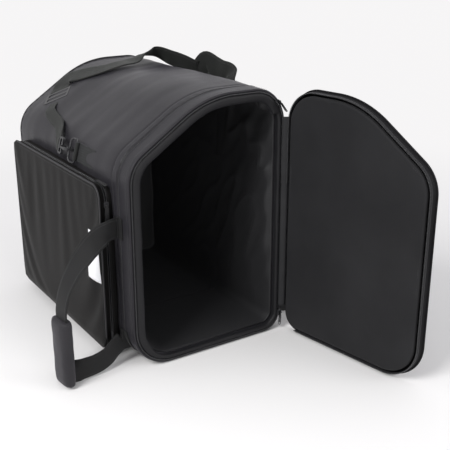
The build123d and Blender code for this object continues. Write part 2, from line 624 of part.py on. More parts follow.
def hook_frame():
    """Closed hook with a gap for its gate, a pin for the gate and a swivel stem."""
    half = HOOK_WIDTH / 2
    outer = RectangleRounded(HOOK_LENGTH + HOOK_WIRE, HOOK_WIDTH + HOOK_WIRE, HOOK_WIDTH / 3)
    inner = RectangleRounded(HOOK_LENGTH - HOOK_WIRE, HOOK_WIDTH - HOOK_WIRE, HOOK_WIDTH / 5)
    middle = (HOOK_FRONT + HOOK_BACK) / 2
    frame = extrude(Plane.XZ * (outer - inner), amount=HOOK_THICK / 2, both=True)
    frame = Pos(middle, 0, HOOK_MIDDLE) * frame
    pivot_x = HOOK_BACK - HOOK_WIRE
    gate_z = HOOK_MIDDLE + half
    frame -= block((pivot_x - GATE_LENGTH - FACE_GAP, -HOOK_THICK, gate_z - HOOK_WIRE),
                   (pivot_x, HOOK_THICK, gate_z + HOOK_WIRE))
    slot = GATE_WIDTH / 2 + FACE_GAP
    frame -= block((pivot_x - GATE_EYE_R, -slot, gate_z - HOOK_WIRE),
                   (pivot_x + GATE_EYE_R + FACE_GAP, slot, gate_z + HOOK_WIRE))
    for side in (-1, 1):
        cheek = Pos(pivot_x, side * (slot + HOOK_THICK / 2) / 2, gate_z) * Rot(90, 0, 0)
        frame += cheek * Cylinder(GATE_EYE_R, HOOK_THICK / 2 - slot)
    frame += Pos(pivot_x, 0, gate_z) * Rot(90, 0, 0) * Cylinder(GATE_PIN_R, HOOK_THICK)
    stem_length = EYE_FRONT + EYE_WIRE / 2 + FACE_GAP - HOOK_BACK
    stem = Rot(0, 90, 0) * Cylinder(SWIVEL_R / 2, stem_length, align=(Align.CENTER, Align.CENTER, Align.MIN))
    head = Rot(0, 90, 0) * Cylinder(SWIVEL_R, HOOK_WIRE / 2, align=(Align.CENTER, Align.CENTER, Align.MIN))
    frame += Pos(HOOK_BACK, 0, HOOK_MIDDLE) * stem
    return frame + Pos(HOOK_BACK + stem_length, 0, HOOK_MIDDLE) * head


def hook_gate():
    pivot_x = HOOK_BACK - HOOK_WIRE
    bar = Pos(-GATE_LENGTH / 2, 0, 0) * Box(GATE_LENGTH, GATE_WIDTH, HOOK_WIRE * 0.7)
    gate = bar + Rot(90, 0, 0) * Cylinder(GATE_EYE_R, GATE_WIDTH)
    gate -= Rot(90, 0, 0) * Cylinder(GATE_PIN_R + GATE_FIT, 2 * GATE_WIDTH)
    return Pos(pivot_x, 0, HOOK_MIDDLE + HOOK_WIDTH / 2) * gate


def swivel_eye():
    """Flat loop that the narrow webbing is sewn round, with a hole for the hook's stem."""
    wide = NARROW_WIDTH + 2 * FACE_GAP + EYE_WIRE
    outer = RectangleRounded(EYE_LENGTH + EYE_WIRE, wide + EYE_WIRE, EYE_WIRE)
    inner = Rectangle(EYE_LENGTH - EYE_WIRE, wide - EYE_WIRE)
    eye = extrude(outer - inner, amount=EYE_WIRE / 2, both=True)
    eye -= Pos(-EYE_LENGTH / 2, 0, 0) * Rot(0, 90, 0) * Cylinder(SWIVEL_R / 2 + SWIVEL_FIT, 2 * EYE_WIRE)
    return Pos((EYE_FRONT + EYE_BACK) / 2, 0, HOOK_MIDDLE) * eye


def ladder_lock(strap_width):
    """Flat plastic frame with two slots, centred, with the strap running along X."""
    wide = strap_width + 2 * LOCK_RIM
    frame = Box(LOCK_LENGTH, wide, LOCK_THICK)
    frame = fillet(frame.edges().filter_by(Axis.Z), LOCK_RIM / 2)
    slot_length = (LOCK_LENGTH - 3 * LOCK_RIM) / 2
    for side in (-1, 1):
        slot_x = side * (slot_length + LOCK_RIM) / 2
        frame -= Pos(slot_x, 0, 0) * Box(slot_length, strap_width + 2 * FACE_GAP, 2 * LOCK_THICK)
    return frame


def left_strap_frame():
    point, outward = skin_point(LEFT_RING_RISE, RING_LIFT)
    return Plane((point.X, LEFT_RING_Y, point.Y), x_dir=(0, 1, 0), z_dir=(outward.X, 0, outward.Y))


def right_strap_frame():
    return Plane((HALF_WIDTH + RING_LIFT, RIGHT_RING_Y, RIGHT_RING_HEIGHT), x_dir=(0, 0, 1), z_dir=(1, 0, 0))


def skin_normal(rise):
    outward = skin_point(rise, 0)[1]
    return Vector(outward.X, 0, outward.Y)


def onward(rise, y, lift, heading, distance):
    """The strap station a distance further along its heading."""
    turn = math.radians(heading)
    return laid(rise + distance * math.sin(turn), y + distance * math.cos(turn), lift, heading)


def wide_strap():
    clear = LOCK_LENGTH / 2 + FACE_GAP
    on_skin = STRAP / 2 + 2 * FACE_GAP
    lying_y = LEFT_LOCK_Y - 0.83 * STRAP_WIDTH
    lean = math.radians(RIGHT_LOCK_LEAN)
    leaving = Vector(0, math.sin(lean), math.cos(lean))
    across = Vector(0, math.cos(lean), -math.sin(lean))
    right_end = Vector(HALF_WIDTH + LOCK_THICK / 2 + 2 * FACE_GAP, RIGHT_LOCK_Y, RIGHT_LOCK_HEIGHT)
    left_end = (LEFT_LOCK_RISE, LEFT_LOCK_Y, on_skin + NARROW / 2, LEFT_LOCK_HEADING)
    run = STRAP_CREST_RISE - LEFT_LOCK_RISE
    bow = STRAP_WIDTH

    def over_skin(share, aside, lift, heading):
        return laid(LEFT_LOCK_RISE + share * run, LEFT_LOCK_Y + aside * bow, on_skin + lift * bow, heading)

    def over_edge(share, aside, above, across_it):
        return Vector(share * HALF_WIDTH, lying_y + aside * bow, HINGE_WALL_HEIGHT + above * bow), across_it

    def beside_wall(off, aside, above, across_it):
        return Vector(HALF_WIDTH + off * bow, RIGHT_LOCK_Y + aside * bow, RIGHT_LOCK_HEIGHT + above * bow), across_it

    stations = [
        onward(*left_end, clear),
        onward(*left_end, clear + 0.15 * bow),
        onward(*left_end, clear + 0.29 * bow),
        over_skin(0.27, 0.48, 0.104, 92),
        over_skin(0.394, 0.04, 0.042, 128),
        over_skin(0.524, -0.54, 0.021, 122),
        over_skin(0.676, -0.79, 0, 100),
        over_skin(0.824, -0.83, 0, 90),
        over_skin(1, -0.83, 0.0625, 90),
        over_edge(0.475, 0.04, 0.333, Vector(-0.1, -0.97, 0.2)),
        over_edge(0.65, 0.04, 0.417, Vector(-0.3, -0.85, 0.42)),
        over_edge(0.8, -0.58, 0.27, Vector(-0.45, -0.5, 0.74)),
        over_edge(0.925, -1.42, 0.083, Vector(-0.4, -0.2, 0.9)),
        over_edge(1.04, -2.1, 0.063, Vector(-0.15, 0, 1)),
        over_edge(1.085, -2.83, -0.042, Vector(0, 0, 1)),
        beside_wall(0.28, 0.875, 0.72, Vector(0, -0.2, 0.98)),
        beside_wall(0.27, 0.4375, 0.73, Vector(0, -0.7, 0.7)),
        (right_end + leaving * (clear + 0.25 * bow) + Vector(0.083 * bow, 0, 0), across * -1),
        (right_end + leaving * (clear + 0.125 * bow) + Vector(0.03 * bow, 0, 0), across * -1),
        (right_end + leaving * clear, across * -1),
    ]
    return ribbon(stations, STRAP_WIDTH, STRAP)


def left_web():
    clear = LOCK_LENGTH / 2 + FACE_GAP
    lift = RING_LIFT + HOOK_MIDDLE
    start = (LEFT_RING_RISE, LEFT_RING_Y + WEB_START, lift, 0)
    end = (LEFT_LOCK_RISE, LEFT_LOCK_Y, LOCK_THICK / 2 + 2 * FACE_GAP, LEFT_LOCK_HEADING)
    stations = [
        onward(*start, 0),
        onward(*start, 7),
        laid(LEFT_RING_RISE + 0.55 * NARROW_WIDTH, LEFT_RING_Y + WEB_START + 0.9 * NARROW_WIDTH, lift * 0.75, 36),
        laid(LEFT_RING_RISE + 1.15 * NARROW_WIDTH, LEFT_RING_Y + WEB_START + 2.1 * NARROW_WIDTH, lift * 0.45, 20),
        laid(LEFT_RING_RISE + 1.5 * NARROW_WIDTH, LEFT_RING_Y + WEB_START + 3.7 * NARROW_WIDTH, lift * 0.4, 14),
        onward(*end[:2], lift / 2, end[3], -clear - 1.5 * NARROW_WIDTH),
        onward(*end, -clear - 9),
        onward(*end, -clear),
    ]
    return ribbon(stations, NARROW_WIDTH, NARROW)


def right_web():
    clear = LOCK_LENGTH / 2 + FACE_GAP
    lean = math.radians(RIGHT_LOCK_LEAN)
    leaving = Vector(0, math.sin(lean), math.cos(lean))
    lock = Vector(HALF_WIDTH + LOCK_THICK / 2 + 2 * FACE_GAP, RIGHT_LOCK_Y, RIGHT_LOCK_HEIGHT)
    start = Vector(HALF_WIDTH + RING_LIFT + HOOK_MIDDLE, RIGHT_RING_Y, RIGHT_RING_HEIGHT + WEB_START)
    across = Vector(0, math.cos(lean), -math.sin(lean))
    stations = [
        (start, Vector(0, 1, 0)),
        (start + Vector(0, 0, 4), Vector(0, 1, 0)),
        (lock - leaving * (clear + 4) + Vector(0.5, 0, 0), across),
        (lock - leaving * clear, across),
    ]
    return ribbon(stations, NARROW_WIDTH, NARROW)


def shoulder_strap():
    """Strap over the top, its webbings and buckles, and the rings and hooks that hold it."""
    point, outward = skin_point(LEFT_RING_RISE, RING_LIFT)
    left = Plane((point.X, LEFT_RING_Y, point.Y), x_dir=(0, 1, 0), z_dir=(outward.X, 0, outward.Y))
    right = Plane((HALF_WIDTH + RING_LIFT, RIGHT_RING_Y, RIGHT_RING_HEIGHT),
                  x_dir=(0, 0, 1), z_dir=(1, 0, 0))
    lock_at, across = laid(LEFT_LOCK_RISE, LEFT_LOCK_Y, LOCK_THICK / 2 + 2 * FACE_GAP, LEFT_LOCK_HEADING)
    normal = skin_normal(LEFT_LOCK_RISE)
    left_lock = Plane(lock_at, x_dir=normal.cross(across), z_dir=normal)
    lean = math.radians(RIGHT_LOCK_LEAN)
    right_lock_x = HALF_WIDTH + LOCK_THICK / 2 + 2 * FACE_GAP
    right_lock = Plane((right_lock_x, RIGHT_LOCK_Y, RIGHT_LOCK_HEIGHT),
                       x_dir=(0, math.sin(lean), math.cos(lean)), z_dir=(1, 0, 0))
    lock = ladder_lock(STRAP_WIDTH)
    return {
        "strap_anchor_tabs": left * anchor_tab() + right * anchor_tab(),
        "left_strap_ring": left * strap_ring(),
        "right_strap_ring": right * strap_ring(),
        "left_strap_hook": left * hook_frame(),
        "right_strap_hook": right * hook_frame(),
        "left_hook_gate": left * hook_gate(),
        "right_hook_gate": right * hook_gate(),
        "swivel_eyes": left * swivel_eye() + right * swivel_eye(),
        "strap_buckles": left_lock * lock + right_lock * lock,
        "narrow_webs": left_web() + right_web(),
        "shoulder_strap": wide_strap(),
    }


def build():
    parts = {}
    parts.update(case_walls())
    parts.update(case_zip())
    parts.update(door())
    parts.update(main_sliders())
    parts.update(pocket())
    parts.update(pocket_sliders())
    parts.update(handles())
    parts.update(shoulder_strap())
    return parts


if __name__ == "__main__":
    os.makedirs("parts", exist_ok=True)
    for node, shape in build().items():
        export_step(shape, f"parts/{node}.step")
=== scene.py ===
import math

import bmesh
import bpy
import numpy as np
from mathutils import Matrix, Vector, noise


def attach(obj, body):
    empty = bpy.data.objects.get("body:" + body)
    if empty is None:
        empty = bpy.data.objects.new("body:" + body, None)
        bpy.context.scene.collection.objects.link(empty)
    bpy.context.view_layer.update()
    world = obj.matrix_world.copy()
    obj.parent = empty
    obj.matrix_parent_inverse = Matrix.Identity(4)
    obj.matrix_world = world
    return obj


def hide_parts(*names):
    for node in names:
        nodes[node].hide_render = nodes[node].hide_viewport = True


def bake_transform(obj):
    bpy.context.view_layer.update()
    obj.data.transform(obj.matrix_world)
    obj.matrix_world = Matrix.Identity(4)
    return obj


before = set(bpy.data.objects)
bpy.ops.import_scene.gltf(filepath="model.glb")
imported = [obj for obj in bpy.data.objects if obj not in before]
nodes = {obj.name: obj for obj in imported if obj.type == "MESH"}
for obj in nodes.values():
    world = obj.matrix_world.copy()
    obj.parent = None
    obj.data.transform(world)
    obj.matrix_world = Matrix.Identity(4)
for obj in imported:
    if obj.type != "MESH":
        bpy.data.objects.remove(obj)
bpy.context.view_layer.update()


# ------------------------------------------------------------ padded wall of the case
# The wall is a foam board wrapped in satin nylon and bent round the end shape of a
# piano accordion: flat resting side, tall hinge wall, sloping shoulder. It sags a
# little along the top and puckers where it is gathered into the piping.
CORNERS = [(-0.160, 0.0, 0.076), (0.160, 0.0, 0.038), (0.160, 0.480, 0.066),
           (-0.007, 0.480, 0.186), (-0.160, 0.377, 0.067)]
CASE_MIDDLE = Vector((0.01, 0.235))
RING_STEPS = 380


def case_outline(count):
    """Points, outward directions and distances round the end shape, from the resting side."""
    start = Vector((0.0, 0.0))
    turns = CORNERS[1:] + CORNERS[:1]
    here, runs = start, []
    for index, (x, z, radius) in enumerate(turns):
        corner = Vector((x, z))
        leave_to = Vector(turns[index + 1][:2]) if index + 1 < len(turns) else start
        arrive, leave = (corner - here).normalized(), (leave_to - corner).normalized()
        turn = arrive.angle(leave)
        reach = radius * math.tan(turn / 2)
        bend_from = corner - arrive * reach
        runs.append(("straight", here, arrive, (bend_from - here).length))
        centre = bend_from + Vector((-arrive.y, arrive.x)) * radius
        runs.append(("bend", centre, math.atan2(-arrive.x, arrive.y), radius, turn))
        here = corner + leave * reach
    runs.append(("straight", here, (start - here).normalized(), (start - here).length))
    total = sum(run[3] if run[0] == "straight" else run[3] * run[4] for run in runs)
    at, out, along = [], [], []
    for step in range(count):
        left = total * step / count
        along.append(left)
        for run in runs:
            length = run[3] if run[0] == "straight" else run[3] * run[4]
            if left > length:
                left -= length
                continue
            if run[0] == "straight":
                at.append(run[1] + run[2] * left)
                out.append(Vector((run[2].y, -run[2].x)))
            else:
                angle = run[2] + left / run[3]
                out.append(Vector((math.cos(angle), math.sin(angle))))
                at.append(run[1] + out[-1] * run[3])
            break
    return np.array(at), np.array(out), np.array(along), total


ring_at, ring_out, ring_along, ring_length = case_outline(RING_STEPS)
FLOOR_CLEARANCE = 0.00002


def put(name, data):
    """A new object with that data, at the origin."""
    thing = bpy.data.objects.new(name, data)
    bpy.context.scene.collection.objects.link(thing)
    return thing


def link_mesh(name, points, faces, uvs, material):
    """A smooth cloth piece that stays above the floor."""
    mesh = bpy.data.meshes.new(name)
    mesh.from_pydata([(x, y, max(z, FLOOR_CLEARANCE)) for x, y, z in points], [], faces)
    layer = mesh.uv_layers.new(name="cloth")
    layer.data.foreach_set("uv", np.array(uvs, float).ravel())
    mesh.polygons.foreach_set("use_smooth", [True] * len(mesh.polygons))
    mesh.materials.append(material)
    return put(name, mesh)


def mend_mesh(piece, turn_out=True, fill_holes=False):
    """Drops loose points, and closes small holes and turns the faces outwards if asked."""
    work = bmesh.new()
    work.from_mesh(piece.data)
    bmesh.ops.delete(work, geom=[v for v in work.verts if not v.link_faces], context="VERTS")
    if fill_holes:
        bmesh.ops.holes_fill(work, edges=[e for e in work.edges if e.is_boundary], sides=12)
    if turn_out:
        bmesh.ops.recalc_face_normals(work, faces=work.faces)
    work.to_mesh(piece.data)
    work.free()
    return piece


def cloth_gauge(piece, thickness, offset=-1.0):
    """Gives a sheet the thickness of its cloth."""
    gauge = piece.modifiers.new("cloth thickness", "SOLIDIFY")
    gauge.thickness, gauge.offset = thickness, offset


def ring_points(stations):
    """Grid of points from stations of (inset, scale towards the middle, y)."""
    grid = np.zeros((len(stations), RING_STEPS, 3))
    middle = np.array(CASE_MIDDLE)
    for row, (inset, scale, y) in enumerate(stations):
        flat = middle + (ring_at - ring_out * inset - middle) * scale
        grid[row, :, 0], grid[row, :, 1], grid[row, :, 2] = flat[:, 0], y, flat[:, 1]
    return grid


def ring_skin(name, grid, material, closed=False, flat_uv=False, poles="", keep=None):
    """Skin over rows of ring points. Rows that run towards +Y on the outside face outwards.

    poles names the ends, first or last, that close on their middle. keep(x, z) drops the
    steps of the ring where it is false, and closes the two cut ends."""
    rows, count = grid.shape[:2]
    kept = [keep is None or keep(*(ring_at[step])) for step in range(count)]
    depth = np.zeros(rows)
    depth[1:] = np.cumsum(np.linalg.norm(np.diff(grid, axis=0), axis=2).mean(axis=1))
    around = np.append(ring_along, ring_length)
    faces, uvs = [], []
    for row in range(rows if closed else rows - 1):
        after = (row + 1) % rows
        deep = depth[row] + (0.01 if after == 0 else depth[after] - depth[row])
        for step in range(count):
            on = (step + 1) % count
            if not (kept[step] and kept[on]):
                continue
            faces.append((row * count + step, after * count + step, after * count + on, row * count + on))
            if flat_uv:
                uvs += [grid[r, s, [0, 2]] for r, s in ((row, step), (after, step), (after, on), (row, on))]
            else:
                uvs += [(around[step], depth[row]), (around[step], deep),
                        (around[step + 1], deep), (around[step + 1], depth[row])]
    points = list(grid.reshape(-1, 3))
    for pole, row in (("first", 0), ("last", rows - 1)):
        if pole not in poles:
            continue
        points.append(grid[row].mean(axis=0))
        for step in range(count):
            rim = (row * count + (step + 1) % count, row * count + step)
            rim = rim if pole == "first" else rim[::-1]
            faces.append((*rim, len(points) - 1) if pole == "first" else (rim[0], len(points) - 1, rim[1]))
            uvs += [points[index][[0, 2]] for index in faces[-1]]
    if keep is not None:
        first = next(step for step in range(count) if kept[step] and not kept[step - 1])
        last = next(step for step in range(count) if kept[step] and not kept[(step + 1) % count])
        faces.append([row * count + first for row in range(rows)][::-1])
        faces.append([row * count + last for row in range(rows)])
        uvs += [(0.0, 0.0)] * (2 * rows)
    return mend_mesh(link_mesh(name, points, faces, uvs, material), turn_out=False)


def wander(point, size, seed):
    """Smooth noise between about -1 and 1, over features of that size in metres."""
    return noise.noise(Vector(point) / size + Vector((seed * 17.1, seed * 5.3, seed * 9.7)))


def move_out(grid, amount):
    """Moves ring points along the wall's outward direction by amount(point, row, step)."""
    for row in range(grid.shape[0]):
        for step in range(grid.shape[1]):
            shift = amount(grid[row, step], row, step)
            grid[row, step, 0] += ring_out[step, 0] * shift
            grid[row, step, 2] += ring_out[step, 1] * shift
    return grid


def move_along(grid, amount, first=0):
    """Moves ring points along Y by amount(point, row, step), from that row on."""
    for row in range(first, grid.shape[0]):
        for step in range(RING_STEPS):
            grid[row, step, 1] += amount(grid[row, step], row, step)
    return grid


def new_group(name, tree_kind, inputs, outputs):
    """A node group with its two ends. Each socket is a name, a kind and perhaps a value."""
    group = bpy.data.node_groups.new(name, tree_kind)
    for side, sockets in (("INPUT", inputs), ("OUTPUT", outputs)):
        for label, kind, *value in sockets:
            socket = group.interface.new_socket(label, in_out=side, socket_type="NodeSocket" + kind)
            if value:
                socket.default_value = value[0]
    return group, group.nodes.new("NodeGroupInput"), group.nodes.new("NodeGroupOutput")


def dial(node, **settings):
    """Sets inputs of a node. Each keyword is the input's name with _ for its spaces."""
    for label, value in settings.items():
        node.inputs[label.replace("_", " ")].default_value = value
    return node


def chain(group, operation, first, second=None):
    """One Math node; each operand is a socket or a number."""
    node = group.nodes.new("ShaderNodeMath")
    node.operation = operation
    for index, operand in enumerate((first, second)):
        if operand is None:
            continue
        if isinstance(operand, (int, float)):
            node.inputs[index].default_value = operand
        else:
            group.links.new(operand, node.inputs[index])
    return node.outputs[0]


def add_noise(tree, place, scale, detail=2.0):
    """Smooth noise over a place socket, as a socket."""
    cloud = dial(tree.nodes.new("ShaderNodeTexNoise"), Scale=scale, Detail=detail)
    tree.links.new(place, cloud.inputs["Vector"])
    return cloud.outputs["Fac"]


def weave_group():
    """Plain weave: rows of threads that pass over and under each other."""
    group, start, end = new_group(
        "plain_weave", "ShaderNodeTree",
        [("Vector", "Vector"), ("Threads per metre", "Float", 1400.0), ("Rib", "Float", 0.0)],
        [("Height", "Float")])
    split = group.nodes.new("ShaderNodeSeparateXYZ")
    group.links.new(start.outputs["Vector"], split.inputs[0])
    turns = chain(group, "MULTIPLY", start.outputs["Threads per metre"], math.pi)
    waves = [chain(group, "SINE", chain(group, "MULTIPLY", split.outputs[axis], turns)) for axis in range(2)]
    checks = chain(group, "MULTIPLY", waves[0], waves[1])
    rib = chain(group, "MULTIPLY", chain(group, "ABSOLUTE", waves[0]), start.outputs["Rib"])
    group.links.new(chain(group, "ADD", checks, rib), end.inputs[0])
    return group


def mottle_group():
    """Uneven dye and light fluff: varies a colour and a roughness over the cloth."""
    group, start, end = new_group(
        "cloth_mottle", "ShaderNodeTree",
        [("Vector", "Vector"), ("Colour", "Color", (0.03, 0.03, 0.03, 1.0)),
         ("Dust colour", "Color", (0.12, 0.12, 0.125, 1.0)), ("Dust", "Float", 0.1),
         ("Roughness", "Float", 0.5), ("Roughness spread", "Float", 0.08)],
        [("Colour", "Color"), ("Roughness", "Float"), ("Creases", "Float")])
    clouds = [add_noise(group, start.outputs["Vector"], scale, detail)
              for scale, detail in ((9.0, 5.0), (900.0, 2.0), (34.0, 4.0))]
    patch = chain(group, "MULTIPLY", chain(group, "SUBTRACT", clouds[0], 0.35), 1.6)
    speck = chain(group, "POWER", clouds[1], 3.0)
    amount = chain(group, "MULTIPLY", chain(group, "MULTIPLY", chain(group, "ADD", patch, speck), 0.8),
                   start.outputs["Dust"])
    mix = group.nodes.new("ShaderNodeMix")
    mix.data_type = "RGBA"
    mix.clamp_factor = True
    group.links.new(amount, mix.inputs["Factor"])
    group.links.new(start.outputs["Colour"], mix.inputs["A"])
    group.links.new(start.outputs["Dust colour"], mix.inputs["B"])
    uneven = chain(group, "SUBTRACT", clouds[0], 0.5)
    spread = chain(group, "MULTIPLY", uneven, start.outputs["Roughness spread"])
    group.links.new(mix.outputs["Result"], end.inputs["Colour"])
    group.links.new(chain(group, "ADD", start.outputs["Roughness"], spread), end.inputs["Roughness"])
    group.links.new(clouds[2], end.inputs["Creases"])
    return group


plain_weave, cloth_mottle = weave_group(), mottle_group()


def new_material(name):
    """A material, its node tree, its Principled shader and its texture coordinates."""
    material = bpy.data.materials.new(name)
    material.use_nodes = True
    tree = material.node_tree
    return material, tree, tree.nodes["Principled BSDF"], tree.nodes.new("ShaderNodeTexCoord")


def add_mottle(tree, where, shader, colour, roughness, dust):
    """Colour and roughness of a shader from the mottle group, which is returned."""
    mottle = tree.nodes.new("ShaderNodeGroup")
    mottle.node_tree = cloth_mottle
    dial(mottle, Colour=(*colour, 1.0), Dust=dust, Roughness=roughness)
    tree.links.new(where.outputs["Object"], mottle.inputs["Vector"])
    tree.links.new(mottle.outputs["Colour"], shader.inputs["Base Color"])
    tree.links.new(mottle.outputs["Roughness"], shader.inputs["Roughness"])
    return mottle


def add_bump(tree, height, strength, distance, below=None):
    """A bump of that height socket, over the normal of the one below it."""
    bump = dial(tree.nodes.new("ShaderNodeBump"), Strength=strength, Distance=distance)
    tree.links.new(height, bump.inputs["Height"])
    if below is not None:
        tree.links.new(below, bump.inputs["Normal"])
    return bump.outputs["Normal"]


CREASE_DEPTH = 0.0012


def cloth(name, colour, roughness, dust=0.1, threads=1400.0, rib=0.0, weave=0.3, creases=0.25,
          sheen=0.3, sheen_tint=(0.8, 0.8, 0.9), coordinates="UV", specular=0.5):
    """Woven cloth. weave and creases are bump strengths; coordinates is UV or Object, in metres."""
    material, tree, shader, where = new_material(name)
    dial(shader, Specular_IOR_Level=specular, Sheen_Weight=sheen, Sheen_Roughness=0.4,
         Sheen_Tint=(*sheen_tint, 1.0))
    mottle = add_mottle(tree, where, shader, colour, roughness, dust)
    threadwork = tree.nodes.new("ShaderNodeGroup")
    threadwork.node_tree = plain_weave
    tree.links.new(where.outputs[coordinates], threadwork.inputs["Vector"])
    dial(threadwork, Threads_per_metre=threads, Rib=rib)
    folds = add_bump(tree, mottle.outputs["Creases"], creases, CREASE_DEPTH)
    threads_bump = add_bump(tree, threadwork.outputs["Height"], weave, 0.25 / threads, folds)
    tree.links.new(threads_bump, shader.inputs["Normal"])
    return material


PIPED_SEAM_Y, END_SEAM_Y, TOPSTITCH_Y = -0.211, 0.247, -0.194
PUCKER_PITCH, CUFF_PUCKER_PITCH = 0.017, 0.013
shell_nylon = cloth("shell_nylon", (0.0155, 0.0146, 0.0174), 0.40, dust=0.06, threads=1500.0, weave=0.22,
                    sheen=0.05, sheen_tint=(0.80, 0.78, 0.92), specular=0.17)


def wall_shape(point, row, step):
    """Crown of the padding, the sag along the top, slack ripples and puckers at the seams."""
    x, y, z = point
    seam = min(y - PIPED_SEAM_Y, END_SEAM_Y - y)
    lift = 0.0025 * (1 - math.exp(-max(seam, 0) / 0.02))
    top = math.exp(-((x - 0.045) / 0.075) ** 2) if z > 0.40 else 0.0
    lift -= 0.009 * top * math.exp(-((y - 0.13) / 0.10) ** 2)
    if z > 0.30 or x < -0.13:
        lift += 0.0030 * wander((x * 0.7, y * 1.6, z), 0.16, 1)
        ripple = wander((x * 0.5, y * 2.2, z * 0.5), 0.06, 2)
        lift += 0.0010 * ripple
    pucker = math.exp(-abs(seam) / 0.010)
    turn = ring_along[step] * 2 * math.pi / PUCKER_PITCH
    lift += 0.0006 * pucker * math.sin(turn + 2 * wander(point, 0.05, 3))
    lift -= 0.0010 * math.exp(-((y - TOPSTITCH_Y) / 0.0016) ** 2)
    if z < 0.02:
        lift = min(lift, 0.0) * 0.3
    return lift


wall_y = [-0.2088, -0.207, -0.204, -0.200, -0.197, -0.1955, -0.194, -0.1925, -0.191, -0.187]
wall_y += list(np.linspace(-0.180, 0.236, 62)) + [0.241, 0.2445, 0.2466]
outside = ring_points([(0.0001, 1, y) for y in wall_y])
outside = move_out(outside, wall_shape)
inside = ring_points([(0.0183, 1, y) for y in (0.2466, 0.10, -0.05, -0.2366)])
front = ring_points([(0.0075, 1, -0.2366), (0.0072, 1, -0.2088)])
case_wall = ring_skin("case_wall", np.concatenate([outside, inside, front]), shell_nylon, closed=True)
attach(case_wall, "case")
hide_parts("shell_wrap", "shell_base_panel", "foam_floor", "foam_far_wall", "foam_shoulder",
            "foam_top", "foam_hinge_wall")


# ------------------------------------------------------------ closed end of the case
# A second foam board in the same nylon, cut to the end shape and sewn in with piping.
# Its middle stands a few millimetres proud of the piped edge.
end_rows = [(0.012, 1, 0.2300), (0.004, 1, 0.2330), (0.0018, 1, 0.2465)]
end_rows += [(0.0025, 1, 0.2484), (0.006, 1, 0.2492), (0.012, 1, 0.2499)]
end_rows += [(0.012, scale, 0.2499 + 0.0035 * (1 - scale ** 2)) for scale in np.linspace(0.94, 0.02, 22)]
end_grid = move_along(ring_points(end_rows), lambda point, row, step: 0.0012 * wander(point, 0.09, 4),
                      first=5)
closed_end = ring_skin("closed_end", end_grid, shell_nylon, flat_uv=True, poles="first last")
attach(closed_end, "case")
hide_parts("shell_back_panel", "foam_back")


# ------------------------------------------------------------ piping
# Cord wrapped in bias-cut nylon, sewn into the seams behind the mouth and round the
# closed end. It stands just proud of the cloth on both sides.
piping_nylon = cloth("piping_nylon", (0.0080, 0.0077, 0.0090), 0.5, dust=0.05, threads=1800.0, weave=0.25,
                     sheen=0.06, specular=0.3)


def cord(inset, y, radius):
    """Grid of points round a cord that follows the end shape."""
    turns = np.linspace(0, 2 * math.pi, 11)[:-1]
    return ring_points([(inset - radius * math.sin(turn), 1, y - radius * math.cos(turn)) for turn in turns])


def piping(name, inset, y, radius):
    grid = move_along(cord(inset, y, radius),
                      lambda point, row, step: 0.0004 * wander((ring_along[step], inset, y), 0.03, 5))
    return ring_skin(name, grid, piping_nylon, closed=True)


mouth_piping = piping("mouth_seam_piping", 0.0012, -0.2104, 0.0018)
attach(mouth_piping, "case")
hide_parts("mouth_piping")
end_piping = piping("end_seam_piping", 0.0012, 0.2472, 0.0018)
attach(end_piping, "case")
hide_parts("back_piping")


# ------------------------------------------------------------ padded band round the mouth
# A separate strip of padded nylon between the piped seam and the zip, turned in at
# the front and topstitched, so that it rolls over like a cuff.
ZIP_EDGE_Y = -0.2442


def band_shape(point, row, step):
    """Fullness of the padded strip, with small puckers at both of its seams."""
    seam = min(point[1] - PIPED_SEAM_Y, ZIP_EDGE_Y - point[1])
    lift = 0.0016 * (1 - math.exp(-max(seam, 0) / 0.006))
    lift += 0.0007 * wander(point, 0.05, 6)
    turn = ring_along[step] * 2 * math.pi / CUFF_PUCKER_PITCH
    lift += 0.0004 * math.exp(-abs(seam) / 0.006) * math.sin(turn)
    return lift if point[2] > 0.004 else min(lift, 0.0)


band_y = [-0.2452, -0.2440, -0.2425, -0.2400, -0.236, -0.231, -0.226, -0.221, -0.217, -0.214, -0.2118]
band_out = move_out(ring_points([(0.0004, 1, y) for y in band_y]), band_shape)
band_in = ring_points([(0.0062, 1, -0.2118), (0.0062, 1, -0.2440),
                       (0.0048, 1, -0.2462), (0.0022, 1, -0.2464)])
mouth_band = ring_skin("mouth_cuff", np.concatenate([band_out, band_in]), shell_nylon, closed=True)
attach(mouth_band, "case")
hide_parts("mouth_band")


# ------------------------------------------------------------ soft roll inside the mouth
# Inside the zip runs a soft roll of foam in nylon. It covers the front edge of the
# boards, is lumpy where it goes round the bends, and thins out on the floor and hinge.
lining_cloth = cloth("lining_cloth", (0.0135, 0.0135, 0.0145), 0.60, dust=0.05, threads=1700.0, weave=0.2,
                     creases=0.35, sheen=0.06, sheen_tint=(0.85, 0.85, 0.9), specular=0.35)
lip_nylon = cloth("lip_nylon", (0.0062, 0.0060, 0.0070), 0.52, dust=0.06, threads=1500.0, weave=0.25,
                  sheen=0.07, specular=0.22)


def roll_profile(middle_inset, middle_y, half_wide, half_deep, count=22, square=3.2):
    """Rounded box profile that runs towards +Y on its outer side."""
    profile = []
    for turn in np.linspace(0, 2 * math.pi, count, endpoint=False):
        c, s = math.cos(turn), math.sin(turn)
        across = math.copysign(abs(c) ** (2 / square), c)
        along = math.copysign(abs(s) ** (2 / square), s)
        profile.append((middle_inset - half_wide * across, 1, middle_y + half_deep * along))
    return profile


def soft_step(value, width):
    """Rises smoothly from 0 to 1 about value 0, over some four widths."""
    return 1 / (1 + math.exp(-value / width))


ROLL_THINNING, ROLL_OUTER_FACE = 0.62, 0.0084
ROLL_FRONT_Y = -0.244
lip_profile = roll_profile(0.0154, -0.2434, 0.0078, 0.0060)


